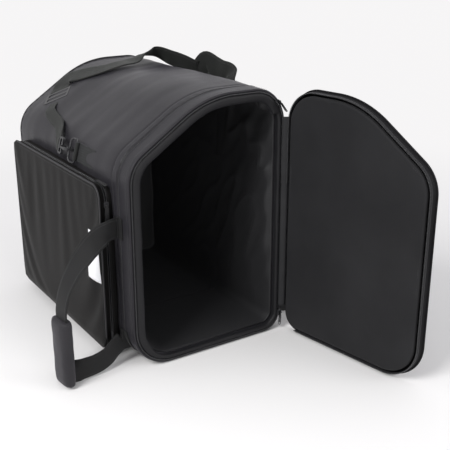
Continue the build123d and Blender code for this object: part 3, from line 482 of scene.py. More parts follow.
def thinner(point, row, step):
    """How far the roll's inner side moves back to the wall along the floor and the hinge."""
    x, _, z = point
    along_floor, along_hinge = soft_step(0.035 - z, 0.008), soft_step(x - 0.128, 0.006) * (z < 0.43)
    return ROLL_THINNING * max(along_floor, along_hinge) * max(lip_profile[row][0] - ROLL_OUTER_FACE, 0)


def lump(point, row, step):
    return 0.0009 * wander((ring_along[step], row * 0.004, 0), 0.035, 7)


def front_lump(point, row, step):
    return lump(point, row, step) - 0.0006 if point[1] < ROLL_FRONT_Y else 0


lip_grid = move_out(ring_points(lip_profile), thinner)
lip_grid = move_out(move_along(lip_grid, front_lump), lump)
mouth_roll = ring_skin("mouth_roll", lip_grid, lip_nylon, closed=True)
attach(mouth_roll, "case")
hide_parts("mouth_lip")


# ------------------------------------------------------------ lining
# Thin dark lining cloth, cut larger than the boards. It lies flat on the resting side
# and hangs in loose creases along the hinge wall and under the top.
def lining_slack(point):
    """Loose creases of the lining: ridges, small wrinkles and a soft overall wave."""
    x, y, z = point
    hinge = soft_step(x - 0.10, 0.015) * (1 - math.exp(-(z / 0.09) ** 2))
    near = math.exp(-((y + 0.235) / 0.15) ** 2)
    roof = soft_step(z - 0.40, 0.02) * 0.6
    loose = hinge * (0.25 + near) + roof * (0.3 + near)
    fold = wander((x, y * 0.75 + z * 0.55, z * 0.30 - y * 0.2), 0.042, 8)
    ridge = (1 - abs(fold) * 2.2) ** 2 if abs(fold) < 0.45 else 0.0
    small = wander((x, y * 0.8 + z * 0.5, z * 0.4), 0.018, 9)
    soft = wander(point, 0.10, 10)
    return -(0.0068 * loose * ridge + 0.0016 * loose * small + 0.0012 * soft * (0.3 + loose))


def lining_shape(point, row, step):
    """The slack, held down at the mouth, with a sewn tuck across the middle."""
    edge = min(1.0, max(0.0, (point[1] + 0.2385) / 0.012))
    tuck = 0.0022 * math.exp(-((point[1] + 0.050) / 0.0022) ** 2)
    return (lining_slack(point) - 0.0004 + tuck) * edge


sleeve_y = list(np.linspace(0.2262, -0.2370, 96)) + [-0.2392]
sleeve_grid = move_out(ring_points([(0.0196, 1, y) for y in sleeve_y]), lining_shape)
back_rows = [(0.0196, scale, 0.2284 + 0.0012 * scale ** 6) for scale in np.linspace(0.02, 0.985, 30)]
back_grid = move_along(ring_points(back_rows),
                       lambda point, row, step: -0.0022 * (0.6 + wander(point, 0.08, 11)))
lining = ring_skin("lining", np.concatenate([back_grid, sleeve_grid]), lining_cloth, poles="first")
cloth_gauge(lining, 0.0006)
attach(lining, "case")
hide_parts("lining_sleeve", "lining_back")


# ------------------------------------------------------------ main zip on the case
# Nylon coil zip on woven tape, sewn under the cuff all the way round the mouth. The
# coil stops at the cloth hinge. Teeth are moulded loops about 2 mm apart.
zip_tape_cloth = cloth("zip_tape_cloth", (0.0105, 0.0105, 0.0115), 0.62, dust=0.06, threads=1200.0, rib=0.8,
                       weave=0.5, sheen=0.06, specular=0.25)


def plastic(name, colour, roughness, grain=0.05):
    """Moulded plastic or lacquer with fine grain and slightly uneven gloss."""
    material, tree, shader, where = new_material(name)
    add_mottle(tree, where, shader, colour, roughness, 0.04)
    speckle = add_noise(tree, where.outputs["Object"], 2500.0)
    tree.links.new(add_bump(tree, speckle, grain, 0.0002), shader.inputs["Normal"])
    return material


zip_coil_nylon = plastic("zip_coil_nylon", (0.030, 0.030, 0.032), 0.34)


def bead_tree():
    """Geometry nodes: small rounded beads at equal spacing along a curve."""
    tree, start, end = new_group(
        "beads_along", "GeometryNodeTree",
        [("Geometry", "Geometry"), ("Spacing", "Float", 0.002), ("Half length", "Float", 0.0006),
         ("Radius", "Float", 0.001), ("Material", "Material")],
        [("Geometry", "Geometry")])
    spots = tree.nodes.new("GeometryNodeCurveToPoints")
    spots.mode = "LENGTH"
    tree.links.new(start.outputs["Geometry"], spots.inputs["Curve"])
    tree.links.new(start.outputs["Spacing"], spots.inputs["Length"])
    bead = dial(tree.nodes.new("GeometryNodeMeshUVSphere"), Segments=8, Rings=5, Radius=1.0)
    size = tree.nodes.new("ShaderNodeCombineXYZ")
    for axis, source in zip("XYZ", ("Radius", "Radius", "Half length")):
        tree.links.new(start.outputs[source], size.inputs[axis])
    spread = tree.nodes.new("GeometryNodeInstanceOnPoints")
    tree.links.new(spots.outputs["Points"], spread.inputs["Points"])
    tree.links.new(spots.outputs["Rotation"], spread.inputs["Rotation"])
    tree.links.new(bead.outputs["Mesh"], spread.inputs["Instance"])
    tree.links.new(size.outputs[0], spread.inputs["Scale"])
    real = tree.nodes.new("GeometryNodeRealizeInstances")
    tree.links.new(spread.outputs["Instances"], real.inputs[0])
    smooth = tree.nodes.new("GeometryNodeSetShadeSmooth")
    tree.links.new(real.outputs[0], smooth.inputs["Geometry"])
    paint = tree.nodes.new("GeometryNodeSetMaterial")
    tree.links.new(smooth.outputs[0], paint.inputs["Geometry"])
    tree.links.new(start.outputs["Material"], paint.inputs["Material"])
    tree.links.new(paint.outputs[0], end.inputs[0])
    return tree


beads_along = bead_tree()
# Spacing, half length and radius of each kind of tooth and stitch.
MAIN_TEETH = (0.0021, 0.00072, 0.00125)
POCKET_TEETH = (0.0021, 0.00072, 0.00118)
WALL_STITCH = (0.0042, 0.0016, 0.00032)
LID_STITCH = (0.0042, 0.0016, 0.00030)
POCKET_STITCH = (0.0040, 0.0015, 0.0003)
WEBBING_STITCH = (0.0038, 0.0014, 0.00030)


def beads(name, paths, size, material, closed=False):
    """Zip teeth or stitches along lines of points, kept clear of the floor."""
    spacing, half_length, radius = size
    line = bpy.data.curves.new(name + "_line", "CURVE")
    line.dimensions = "3D"
    for path in paths:
        spline = line.splines.new("POLY")
        spline.points.add(len(path) - 1)
        for spot, point in zip(spline.points, path):
            spot.co = (point[0], point[1], max(point[2], radius + 0.0001), 1.0)
        spline.use_cyclic_u = closed
    carrier = put(name + "_line", line)
    modifier = carrier.modifiers.new("beads", "NODES")
    modifier.node_group = beads_along
    inputs = [item for item in beads_along.interface.items_tree if item.in_out == "INPUT"]
    sockets = {item.name: item.identifier for item in inputs}
    for label, value in (("Spacing", spacing), ("Half length", half_length), ("Radius", radius),
                         ("Material", material)):
        modifier[sockets[label]] = value
    carrier.update_tag()
    graph = bpy.context.evaluated_depsgraph_get()
    mesh = bpy.data.meshes.new_from_object(carrier.evaluated_get(graph))
    bpy.data.objects.remove(carrier)
    return put(name, mesh)


def ring_line(inset, y, keep=None):
    """Points along the end shape at that inset, kept where keep(x, z) is true, as one run."""
    spots = [(p[0] - n[0] * inset, y, p[1] - n[1] * inset) for p, n in zip(ring_at, ring_out)]
    if keep is None:
        return spots
    kept = [keep(x, z) for x, _, z in spots]
    first = next(i for i in range(len(spots)) if kept[i] and not kept[i - 1])
    turned = spots[first:] + spots[:first]
    return [p for p in turned if keep(p[0], p[2])]


HINGE_FOOT, HINGE_TOP = 0.038, 0.300


def off_case_hinge(x, z):
    return not (x > 0.10 and HINGE_FOOT < z < HINGE_TOP)


def off_door_hinge(x, z):
    return not (x > 0.127 and z < HINGE_TOP)


case_tape_grid = ring_points([(0.0056, 1, -0.2476), (0.0053, 1, -0.243), (0.0056, 1, -0.2385),
                              (0.0064, 1, -0.2385), (0.0066, 1, -0.243), (0.0064, 1, -0.2476)])
case_tape = ring_skin("case_zip_tape_cloth", case_tape_grid, zip_tape_cloth, closed=True)
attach(case_tape, "case")
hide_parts("case_zip_tape")
case_teeth = beads("case_zip_teeth", [ring_line(0.006, -0.2486, off_case_hinge)], MAIN_TEETH, zip_coil_nylon)
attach(case_teeth, "case")
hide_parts("case_zip_coil")


# ------------------------------------------------------------ stitching on the case
# Dark bonded thread: one line behind the piped seam, two on the cuff.
thread = plastic("bonded_thread", (0.045, 0.045, 0.048), 0.5)


def seam_line(y, lift, surface):
    """Line over the outside of the case at y, lifted by what the surface shape gives there."""
    line = []
    for step in range(RING_STEPS):
        x, z = ring_at[step]
        rise = lift + surface((x, y, z), 0, step)
        line.append((x + ring_out[step, 0] * rise, y, z + ring_out[step, 1] * rise))
    return line


wall_seam = seam_line(TOPSTITCH_Y, 0.0002, wall_shape)
wall_stitches = beads("wall_topstitch", [wall_seam], WALL_STITCH, thread, closed=True)
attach(wall_stitches, "case")
cuff_seams = [seam_line(y, 0.0005, band_shape) for y in (-0.2395, -0.2148)]
cuff_stitches = beads("cuff_topstitch", cuff_seams, WALL_STITCH, thread, closed=True)
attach(cuff_stitches, "case")


# ------------------------------------------------------------ lid
# The lid is a thinner foam board between a nylon cover and a brushed inner cloth, with
# a low gusset that carries the other half of the zip. It swings on a cloth hinge.
HINGE_LINE = Vector((0.1594, -0.2500, 0.0))
LID_OPEN = math.radians(99)


def swung(grid):
    """The lid is shaped closed, across the mouth, and then turned open on its hinge."""
    turn = np.array(Matrix.Rotation(LID_OPEN, 3, "Z"))
    return (grid - np.array(HINGE_LINE)) @ turn.T + np.array(HINGE_LINE)


lid_inner_cloth = cloth("lid_inner_cloth", (0.0092, 0.0092, 0.0102), 0.75, dust=0.10, threads=1300.0,
                        weave=0.35, creases=0.2, sheen=0.09, sheen_tint=(0.9, 0.9, 0.92), specular=0.2)
# The lid's cover and piping take the case's satin nylon made about three times darker: painted shade for the
# shadow on the open lid's rim and cover.
lid_nylon_painted_shade = cloth("lid_nylon_painted_shade", (0.0050, 0.0048, 0.0055), 0.50, dust=0.05, threads=1500.0, weave=0.25,
                  sheen=0.03, specular=0.10)
inner_rows = [(0.0125, scale, -0.2572) for scale in np.linspace(0.05, 1.0, 8)]
inner_rows += [(0.0119, 1, -0.2560), (0.0118, 1, -0.2535), (0.0124, 1, -0.2520), (0.0138, 1, -0.2511),
               (0.0160, 1, -0.2508), (0.0185, 1, -0.2509), (0.0190, 0.985, -0.2510)]
inner_rows += [(0.0190, scale, -0.2509) for scale in np.linspace(0.97, 0.02, 34)]


def brushed(point, row, step):
    """Slight unevenness of the brushed cloth over its board."""
    return 0.0005 * wander(point, 0.07, 12) + 0.0003 * wander(point, 0.02, 13)


inner_grid = move_along(ring_points(inner_rows), brushed, first=12)
lid_inner = ring_skin("lid_inner_board", swung(inner_grid), lid_inner_cloth, flat_uv=True, poles="first last")
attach(lid_inner, "door")
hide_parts("door_inner_panel")

cover_rows = [(0.012, scale, -0.2700 - 0.0040 * (1 - scale ** 2)) for scale in np.linspace(0.02, 0.97, 24)]
cover_rows += [(0.012, 1, -0.2701), (0.0085, 1, -0.2699), (0.0055, 1, -0.2694), (0.0036, 1, -0.2688)]
cover_rows += [(0.0040, 1, -0.2656), (0.0054, 1, -0.2640), (0.0052, 1, -0.2610), (0.0055, 1, -0.2582),
               (0.0066, 1, -0.2582), (0.0078, 1, -0.2655)]
cover_rows += [(0.012, scale, -0.2662) for scale in (1.0, 0.7, 0.4, 0.1)]


def cover_wave(point, row, step):
    """The cover waves over the foam, and less along the gusset."""
    wave = 0.0010 * wander(point, 0.10, 14) + 0.0004 * wander(point, 0.03, 15)
    return wave if row < 26 else 0.4 * wave


cover_grid = move_along(ring_points(cover_rows), cover_wave)
lid_cover = ring_skin("lid_cover", swung(cover_grid), lid_nylon_painted_shade, flat_uv=True, poles="first last")
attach(lid_cover, "door")
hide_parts("door_cover", "door_foam", "door_gusset")

lid_tape_grid = ring_points([(0.0055, 1, -0.2592), (0.0053, 1, -0.2560), (0.0056, 1, -0.2532),
                             (0.0064, 1, -0.2532), (0.0067, 1, -0.2560), (0.0065, 1, -0.2592)])
lid_tape = ring_skin("lid_zip_tape_cloth", swung(lid_tape_grid[::-1]), zip_tape_cloth, closed=True,
                     keep=off_door_hinge)
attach(lid_tape, "door")
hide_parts("door_zip_tape")
lid_teeth_line = swung(np.array(ring_line(0.006, -0.2522, off_door_hinge)))
lid_teeth = beads("lid_zip_teeth", [lid_teeth_line], MAIN_TEETH, zip_coil_nylon)
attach(lid_teeth, "door")
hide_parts("door_zip_coil")

lid_piping = ring_skin("lid_seam_piping", swung(cord(0.0031, -0.2672, 0.0017)), lid_nylon_painted_shade, closed=True)
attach(lid_piping, "door")
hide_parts("door_piping")

lid_inner_seam = swung(np.array(ring_line(0.0165, -0.2512)))
lid_stitches = beads("lid_inner_topstitch", [lid_inner_seam], LID_STITCH, thread, closed=True)
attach(lid_stitches, "door")


# ------------------------------------------------------------ cloth hinge
# Two narrow strips of folded tape meet at the hinge line, one sewn to the mouth and one
# to the lid. The copy of each strip is softened and rippled like cloth. A web of the
# same tape closes the gap in front of them.
def draped(name, rows, columns, place, unrolled, material, turned=False):
    """A sheet over place(row, column). unrolled(point) is a point's spot on the flat cloth."""
    points = [place(row, column) for row in range(rows) for column in range(columns)]
    faces, uvs = [], []
    for row in range(rows - 1):
        for column in range(columns - 1):
            a, b = row * columns + column, (row + 1) * columns + column
            faces.append((a, b, b + 1, a + 1) if turned else (a, a + 1, b + 1, b))
            uvs += [unrolled(points[corner]) for corner in faces[-1]]
    return link_mesh(name, points, faces, uvs, material)


def softened(name, node, material, body, ripple=0.0003, cuts=2):
    """A rippled copy of a small sewn piece, which takes that piece's place."""
    source = bmesh.new()
    source.from_mesh(nodes[node].data)
    bmesh.ops.remove_doubles(source, verts=source.verts, dist=0.00002)
    bmesh.ops.dissolve_limit(source, angle_limit=math.radians(2), verts=source.verts, edges=source.edges)
    bmesh.ops.triangulate(source, faces=source.faces)
    for _ in range(cuts):
        longest = [edge for edge in source.edges if edge.calc_length() > 0.006]
        bmesh.ops.subdivide_edges(source, edges=longest, cuts=1)
        bmesh.ops.triangulate(source, faces=source.faces)
    source.normal_update()
    for vert in source.verts:
        vert.co += vert.normal * ripple * wander(vert.co, 0.012, 16)
    mesh = bpy.data.meshes.new(name)
    source.to_mesh(mesh)
    source.free()
    mesh.materials.append(material)
    piece = put(name, mesh)
    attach(piece, body)
    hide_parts(node)


hinge_tape_cloth = cloth("hinge_tape_cloth", (0.0095, 0.0095, 0.0105), 0.65, dust=0.12, threads=1100.0,
                         weave=0.4, sheen=0.06, coordinates="Object", specular=0.25)
softened("case_hinge_tape", "case_hinge_strip", hinge_tape_cloth, "case", ripple=0.0001, cuts=5)
softened("lid_hinge_tape", "door_hinge_strip", hinge_tape_cloth, "door", ripple=0.0001, cuts=5)

web_section = [(0.1530, -0.2464), (0.1546, -0.2490), (0.1566, -0.2514), (0.1590, -0.2532), (0.1612, -0.2544),
               (0.1636, -0.2550), (0.1662, -0.2546)]
web_heights = np.linspace(0.050, 0.424, 120)


def web_point(row, column):
    """The web is slack between its two sewn edges."""
    (x, y), z = web_section[column], web_heights[row]
    middle = math.sin(math.pi * column / (len(web_section) - 1))
    slack = 0.0009 * middle * wander((0, column * 0.002, z), 0.022, 31)
    return x - slack, y - 0.5 * slack, z


hinge_web = draped("hinge_web", len(web_heights), len(web_section), web_point,
                   lambda point: (point[0] - point[1], point[2]), hinge_tape_cloth)
cloth_gauge(hinge_web, 0.0006, offset=0.0)
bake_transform(hinge_web)


# ------------------------------------------------------------ zip sliders
# Die-cast sliders in worn black lacquer: one parked at the top of the mouth, one at its
# foot, each with a ringed pull. Edges have rubbed through to grey metal.
def worn_lacquer(name, colour, bare, roughness, wear):
    """Lacquer that has rubbed through to bare metal over that share of the surface."""
    material, tree, shader, where = new_material(name)
    rub = add_noise(tree, where.outputs["Object"], 420.0, 6.0)
    for covered, rubbed, socket in ((colour, bare, "Base Color"), ((0.1, 0.1, 0.1), (1, 1, 1), "Metallic")):
        ramp = tree.nodes.new("ShaderNodeValToRGB")
        low, high = ramp.color_ramp.elements
        low.position, high.position = 1 - wear, 1 - wear + 0.12
        low.color, high.color = (*covered, 1), (*rubbed, 1)
        tree.links.new(rub, ramp.inputs["Fac"])
        tree.links.new(ramp.outputs["Color"], shader.inputs[socket])
    gloss = dial(tree.nodes.new("ShaderNodeMapRange"), To_Min=roughness - 0.1, To_Max=roughness + 0.14)
    tree.links.new(rub, gloss.inputs["Value"])
    tree.links.new(gloss.outputs["Result"], shader.inputs["Roughness"])
    tree.links.new(add_bump(tree, rub, 0.15, 0.0002), shader.inputs["Normal"])
    return material


black_lacquer = worn_lacquer("black_lacquer", (0.02, 0.02, 0.022), (0.35, 0.35, 0.36), 0.35, 0.38)


def finish_node(node, material):
    """Gives a kept metal or plastic piece its finish."""
    nodes[node].data.materials.clear()
    nodes[node].data.materials.append(material)


for slider_node in ("top_slider", "foot_slider", "top_slider_pull", "pocket_top_slider",
                    "pocket_front_slider"):
    finish_node(slider_node, black_lacquer)
rubbed_pull = worn_lacquer("rubbed_pull", (0.05, 0.05, 0.052), (0.5, 0.5, 0.51), 0.32, 0.50)
finish_node("foot_slider_pull", rubbed_pull)


# ------------------------------------------------------------ pocket
# A flat pocket sewn on the far wall. Its face is one slack sheet of satin nylon, cut a
# little large, so that it hangs in soft folds from the zip. A label is sewn on, blank.
pocket_nylon = cloth("pocket_nylon", (0.0047, 0.0043, 0.0041), 0.42, dust=0.05, threads=1500.0, weave=0.18,
                     creases=0.3, sheen=0.01, sheen_tint=(0.95, 0.9, 0.85), specular=0.05)
POCKET_LOW, POCKET_HIGH = Vector((-0.193, 0.025)), Vector((0.220, 0.335))
POCKET_CORNER = 0.025


def pocket_edge(inset, count=240):
    """Points (y, z) round the pocket, from the middle of its foot, and the way round in metres."""
    radius = max(POCKET_CORNER - inset, 0.004)
    y0, z0 = POCKET_LOW[0] + inset, POCKET_LOW[1] + inset
    y1, z1 = POCKET_HIGH[0] - inset, POCKET_HIGH[1] - inset
    legs = []
    for (cy, cz), start in (((y1 - radius, z0 + radius), -90), ((y1 - radius, z1 - radius), 0),
                            ((y0 + radius, z1 - radius), 90), ((y0 + radius, z0 + radius), 180)):
        for turn in np.linspace(math.radians(start), math.radians(start + 90), 13):
            legs.append((cy + radius * math.cos(turn), cz + radius * math.sin(turn)))
    legs = [((y0 + y1) / 2, z0)] + legs + [((y0 + y1) / 2, z0)]
    legs = np.array(legs)
    run = np.append(0, np.cumsum(np.linalg.norm(np.diff(legs, axis=0), axis=1)))
    at = np.linspace(0, run[-1], count, endpoint=False)
    return np.stack([np.interp(at, run, legs[:, 0]), np.interp(at, run, legs[:, 1])], axis=1), run[-1]


def pocket_skin(name, rows, material, closed=False, keep=None, ripple=0.0):
    """Skin over (inset, x) rows round the pocket. Rows that run towards -X face outwards."""
    count = 240
    points, faces, uvs, depth = [], [], [], 0.0
    for row, (inset, x) in enumerate(rows):
        edge, length = pocket_edge(inset, count)
        for spot in range(count):
            y, z = edge[spot]
            wave = ripple * (wander((x * 2, y, z), 0.03, 21) + 0.5 * wander((x * 4, y, z), 0.012, 22))
            away = Vector((y - 0.0135, z - 0.180)).normalized()
            points.append((x + wave * 0.5, y + away[0] * wave, z + away[1] * wave))
    last = len(rows) if closed else len(rows) - 1
    for row in range(last):
        after = (row + 1) % len(rows)
        gap = abs(rows[after][1] - rows[row][1]) + abs(rows[after][0] - rows[row][0])
        for spot in range(count):
            on = (spot + 1) % count
            corners = (row * count + spot, row * count + on, after * count + on, after * count + spot)
            if keep is not None and not all(keep(points[c][1], points[c][2]) for c in corners):
                continue
            faces.append(corners[::-1])
            step = length / count
            uvs += [(spot * step, depth + gap), ((spot + 1) * step, depth + gap), ((spot + 1) * step, depth),
                    (spot * step, depth)]
        depth += gap
    return mend_mesh(link_mesh(name, points, faces, uvs, material), fill_holes=True)


def off_pocket_hinge(y, z):
    return not (y > 0.19 and 0.041 < z < 0.319)


SEWN_EDGE = 0.0045
SETTLE_FRAMES = 34
# Fine pleats are kept in part. The sheet may stand out, sink in and slide by these lengths.
FINE_PASSES, BROAD_PASSES, PLEAT_SHARE = 4, 60, 0.4
LOOSEST, TIGHTEST, SLIDE = 0.0085, 0.0012, 0.012
face_columns, face_rows = 108, 82
panel = bmesh.new()
y_lines = np.linspace(POCKET_LOW[0], POCKET_HIGH[0], face_columns)
z_lines = np.linspace(POCKET_LOW[1], POCKET_HIGH[1], face_rows)
panel_verts = [[panel.verts.new((-0.1866, y, z)) for z in z_lines] for y in y_lines]
for column in range(face_columns - 1):
    for row in range(face_rows - 1):
        panel.faces.new((panel_verts[column][row], panel_verts[column][row + 1],
                         panel_verts[column + 1][row + 1], panel_verts[column + 1][row]))
for vert in panel.verts:
    y, z = vert.co[1], vert.co[2]
    cy = min(max(y, POCKET_LOW[0] + POCKET_CORNER), POCKET_HIGH[0] - POCKET_CORNER)
    cz = min(max(z, POCKET_LOW[1] + POCKET_CORNER), POCKET_HIGH[1] - POCKET_CORNER)
    off = Vector((y - cy, z - cz))
    if off[0] and off[1]:
        square = max(abs(off[0]), abs(off[1]))
        round_off = off.normalized() * square
        vert.co[1], vert.co[2] = cy + round_off[0], cz + round_off[1]
panel.normal_update()
panel_mesh = bpy.data.meshes.new("pocket_face")
panel.to_mesh(panel_mesh)
panel.free()
panel_mesh.materials.append(pocket_nylon)
pocket_face = put("pocket_face", panel_mesh)
flat_spots = [vert.co.copy() for vert in panel_mesh.vertices]


def rim_distance(y, z):
    return min(y - POCKET_LOW[0], POCKET_HIGH[0] - y, z - POCKET_LOW[1], POCKET_HIGH[1] - z)


sewn = pocket_face.vertex_groups.new(name="sewn")
stitched = [v.index for v in panel_mesh.vertices if rim_distance(v.co[1], v.co[2]) < SEWN_EDGE]
sewn.add(stitched, 1.0, "REPLACE")
for vert in panel_mesh.vertices:
    x, y, z = vert.co
    if rim_distance(y, z) > SEWN_EDGE:
        slope = (x, y * 0.8 + z * 0.6, (z * 0.8 - y * 0.6) * 0.35)
        vert.co[0] -= 0.0026 * (1 + wander(slope, 0.085, 23))
hang = pocket_face.modifiers.new("slack", "CLOTH")
hang.settings.quality = 6
hang.settings.mass = 0.25
hang.settings.tension_stiffness = hang.settings.compression_stiffness = 18.0
hang.settings.shear_stiffness = 8.0
hang.settings.bending_stiffness = 30.0
hang.settings.tension_damping = hang.settings.compression_damping = 12.0
hang.settings.air_damping = 4.0
hang.settings.shrink_min = -0.012
hang.settings.vertex_group_mass = "sewn"
hang.settings.effector_weights.gravity = 0.8
hang.settings.use_pressure = True
hang.settings.uniform_pressure_force = 0.7
hang.collision_settings.use_collision = False
hang.point_cache.frame_start, hang.point_cache.frame_end = 1, SETTLE_FRAMES
for frame_number in range(1, SETTLE_FRAMES + 1):
    bpy.context.scene.frame_set(frame_number)
    bpy.context.view_layer.update()
settled = pocket_face.evaluated_get(bpy.context.evaluated_depsgraph_get())
hung = [vert.co.copy() for vert in settled.data.vertices]
pocket_face.modifiers.remove(hang)
bpy.context.scene.frame_set(1)
shifts = np.array([moved - flat for moved, flat in zip(hung, flat_spots)])
shifts = shifts.reshape(face_columns, face_rows, 3)
broad = shifts.copy()
for smoothing in range(BROAD_PASSES):
    broad[1:-1] = 0.5 * broad[1:-1] + 0.25 * (broad[:-2] + broad[2:])
    broad[:, 1:-1] = 0.5 * broad[:, 1:-1] + 0.25 * (broad[:, :-2] + broad[:, 2:])
    if smoothing == FINE_PASSES - 1:
        shifts = broad.copy()
shifts = broad + PLEAT_SHARE * (shifts - broad)
for vert, flat, moved in zip(panel_mesh.vertices, flat_spots, shifts.reshape(-1, 3)):
    shift = Vector(moved)
    reach = LOOSEST if shift[0] < 0 else TIGHTEST
    shift[0] = reach * math.tanh(shift[0] / reach)
    vert.co = flat + Vector((shift[0], *(max(-SLIDE, min(SLIDE, slid)) for slid in shift[1:])))
panel_mesh.polygons.foreach_set("use_smooth", [True] * len(panel_mesh.polygons))
face_uv = panel_mesh.uv_layers.new(name="cloth")
for loop in panel_mesh.loops:
    face_uv.data[loop.index].uv = flat_spots[loop.vertex_index][1:]
cloth_gauge(pocket_face, 0.0008)
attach(pocket_face, "pocket_flap")
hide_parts("pocket_flap_panel")

flap_rows = [(0.0005, -0.1868), (0.0006, -0.1850), (0.0020, -0.1825), (0.0026, -0.1800), (0.0028, -0.1768),
             (0.0040, -0.1768), (0.0042, -0.1820), (0.0036, -0.1852)]
flap_gusset = pocket_skin("pocket_flap_side", flap_rows, pocket_nylon, closed=True, ripple=0.0005)
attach(flap_gusset, "pocket_flap")
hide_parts("pocket_flap_gusset")
hem_rows = [(0.0002, -0.1872), (-0.0006, -0.1862), (0.0000, -0.1850), (0.0018, -0.1846), (0.0030, -0.1858),
            (0.0026, -0.1874)]
flap_hem = pocket_skin("pocket_hem_binding", hem_rows, piping_nylon, closed=True, ripple=0.0003)
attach(flap_hem, "pocket_flap")
base_rows = [(0.0028, -0.1712), (0.0026, -0.1680), (0.0028, -0.1640), (0.0028, -0.1596), (0.0040, -0.1596),
             (0.0042, -0.1660), (0.0040, -0.1712)]
base_gusset = pocket_skin("pocket_case_side", base_rows[::-1], pocket_nylon, closed=True, ripple=0.0004)
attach(base_gusset, "case")
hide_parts("pocket_base_gusset")


def pocket_teeth(name, x, node, body):
    edge, _ = pocket_edge(0.0035)
    line = [(x, y, z) for y, z in edge if off_pocket_hinge(y, z)]
    start = next(i for i in range(len(line)) if (Vector(line[i]) - Vector(line[i - 1])).length > 0.02)
    teeth = beads(name, [line[start:] + line[:start]], POCKET_TEETH, zip_coil_nylon)
    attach(teeth, body)
    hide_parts(node)


pocket_teeth("pocket_case_teeth", -0.1722, "pocket_inner_coil", "case")
pocket_teeth("pocket_flap_teeth", -0.1758, "pocket_outer_coil", "pocket_flap")
softened("pocket_case_hinge_tape", "pocket_hinge_strip", hinge_tape_cloth, "case", cuts=5)
softened("pocket_flap_hinge_tape", "pocket_flap_hinge", hinge_tape_cloth, "pocket_flap", cuts=5)

hem_line, _ = pocket_edge(0.0075, 300)
hem_seam = [(-0.1878, y, z) for y, z in hem_line]
hem_stitches = beads("pocket_topstitch", [hem_seam], POCKET_STITCH, thread, closed=True)
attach(hem_stitches, "pocket_flap")

label_cloth = cloth("label_cloth", (0.88, 0.88, 0.89), 0.6, dust=0.0, threads=2200.0, weave=0.25,
                    creases=0.15, sheen=0.1, coordinates="Object")
LABEL_CORNER, LABEL_SIZE = (-0.1850, 0.155), (0.045, 0.090)
LABEL_REST = 0.009
label_rows, label_columns = 22, 14


def label_point(row, column):
    """The label rests on the highest cloth near each of its points."""
    y = LABEL_CORNER[0] + LABEL_SIZE[0] * column / (label_columns - 1)
    z = LABEL_CORNER[1] + LABEL_SIZE[1] * row / (label_rows - 1)
    curl = 0.0006 * wander((0, y, z), 0.03, 24)
    under = [v.co[0] for v in panel_mesh.vertices
             if abs(v.co[1] - y) < LABEL_REST and abs(v.co[2] - z) < LABEL_REST]
    return min(under) - 0.0006 - abs(curl), y, z


label = draped("pocket_blank_label", label_rows, label_columns, label_point, lambda point: point[1:],
               label_cloth, turned=True)
cloth_gauge(label, 0.0005)
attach(label, "pocket_flap")
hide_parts("pocket_label")
pull_lacquer = worn_lacquer("pull_lacquer", (0.018, 0.018, 0.019), (0.25, 0.25, 0.26), 0.38, 0.36)
finish_node("pocket_top_pull", pull_lacquer)
finish_node("pocket_front_pull", pull_lacquer)


# ------------------------------------------------------------ webbing and carry handles
# Flat woven webbing. Each side handle is one length sewn to the wall twice, with a
# padded sleeve round its middle, which hangs down to just above the floor.
def webbing_cloth(name, coordinates="UV"):
    """The carry webbing, with its weave along the strap's UV or the object's axes."""
    return cloth(name, (0.0072, 0.0072, 0.0074), 0.62, dust=0.07, threads=760.0, rib=0.9, weave=0.6,
                 creases=0.1, sheen=0.06, sheen_tint=(0.9, 0.9, 0.9), coordinates=coordinates, specular=0.2)


webbing_weave = webbing_cloth("webbing_weave")
RUN_STEPS = 8
WEBBING_RIPPLE = 0.0004


def between(low, high, start, end, here):
    """From low at start to high at end."""
    return low * ((end - here) / (end - start)) + high * ((here - start) / (end - start))


def smooth_run(stations):
    """Centripetal spline through stations of (point, across), with the across kept square to it."""
    spots = [Vector(point) for point, _ in stations]
    ways = [Vector(across).normalized() for _, across in stations]
    for index in range(1, len(ways)):
        if ways[index].dot(ways[index - 1]) < 0:
            ways[index] = -ways[index]
    spots = [spots[0] * 2 - spots[1]] + spots + [spots[-1] * 2 - spots[-2]]
    path = []
    for index in range(1, len(spots) - 2):
        p0, p1, p2, p3 = spots[index - 1:index + 3]
        t0 = 0.0
        t1 = t0 + math.sqrt((p1 - p0).length)
        t2 = t1 + math.sqrt((p2 - p1).length)
        t3 = t2 + math.sqrt((p3 - p2).length)
        for step in range(RUN_STEPS + (index == len(spots) - 3)):
            share = step / RUN_STEPS
            t = t1 + (t2 - t1) * share
            middle = between(p1, p2, t1, t2, t)
            before = between(between(p0, p1, t0, t1, t), middle, t0, t2, t)
            after = between(middle, between(p2, p3, t2, t3, t), t1, t3, t)
            ease = share * share * (3 - 2 * share)
            path.append((between(before, after, t1, t2, t),
                         ways[index - 1].lerp(ways[index], ease) if index < len(ways) else ways[-1]))
    return path


def frames_along(stations):
    """Point, sideways and upward direction at every step of the run through stations."""
    path = smooth_run(stations)
    frames = []
    for index, (spot, across) in enumerate(path):
        ahead = (path[min(index + 1, len(path) - 1)][0] - path[max(index - 1, 0)][0]).normalized()
        side = (across - ahead * across.dot(ahead)).normalized()
        frames.append((spot, side, ahead.cross(side)))
    return frames


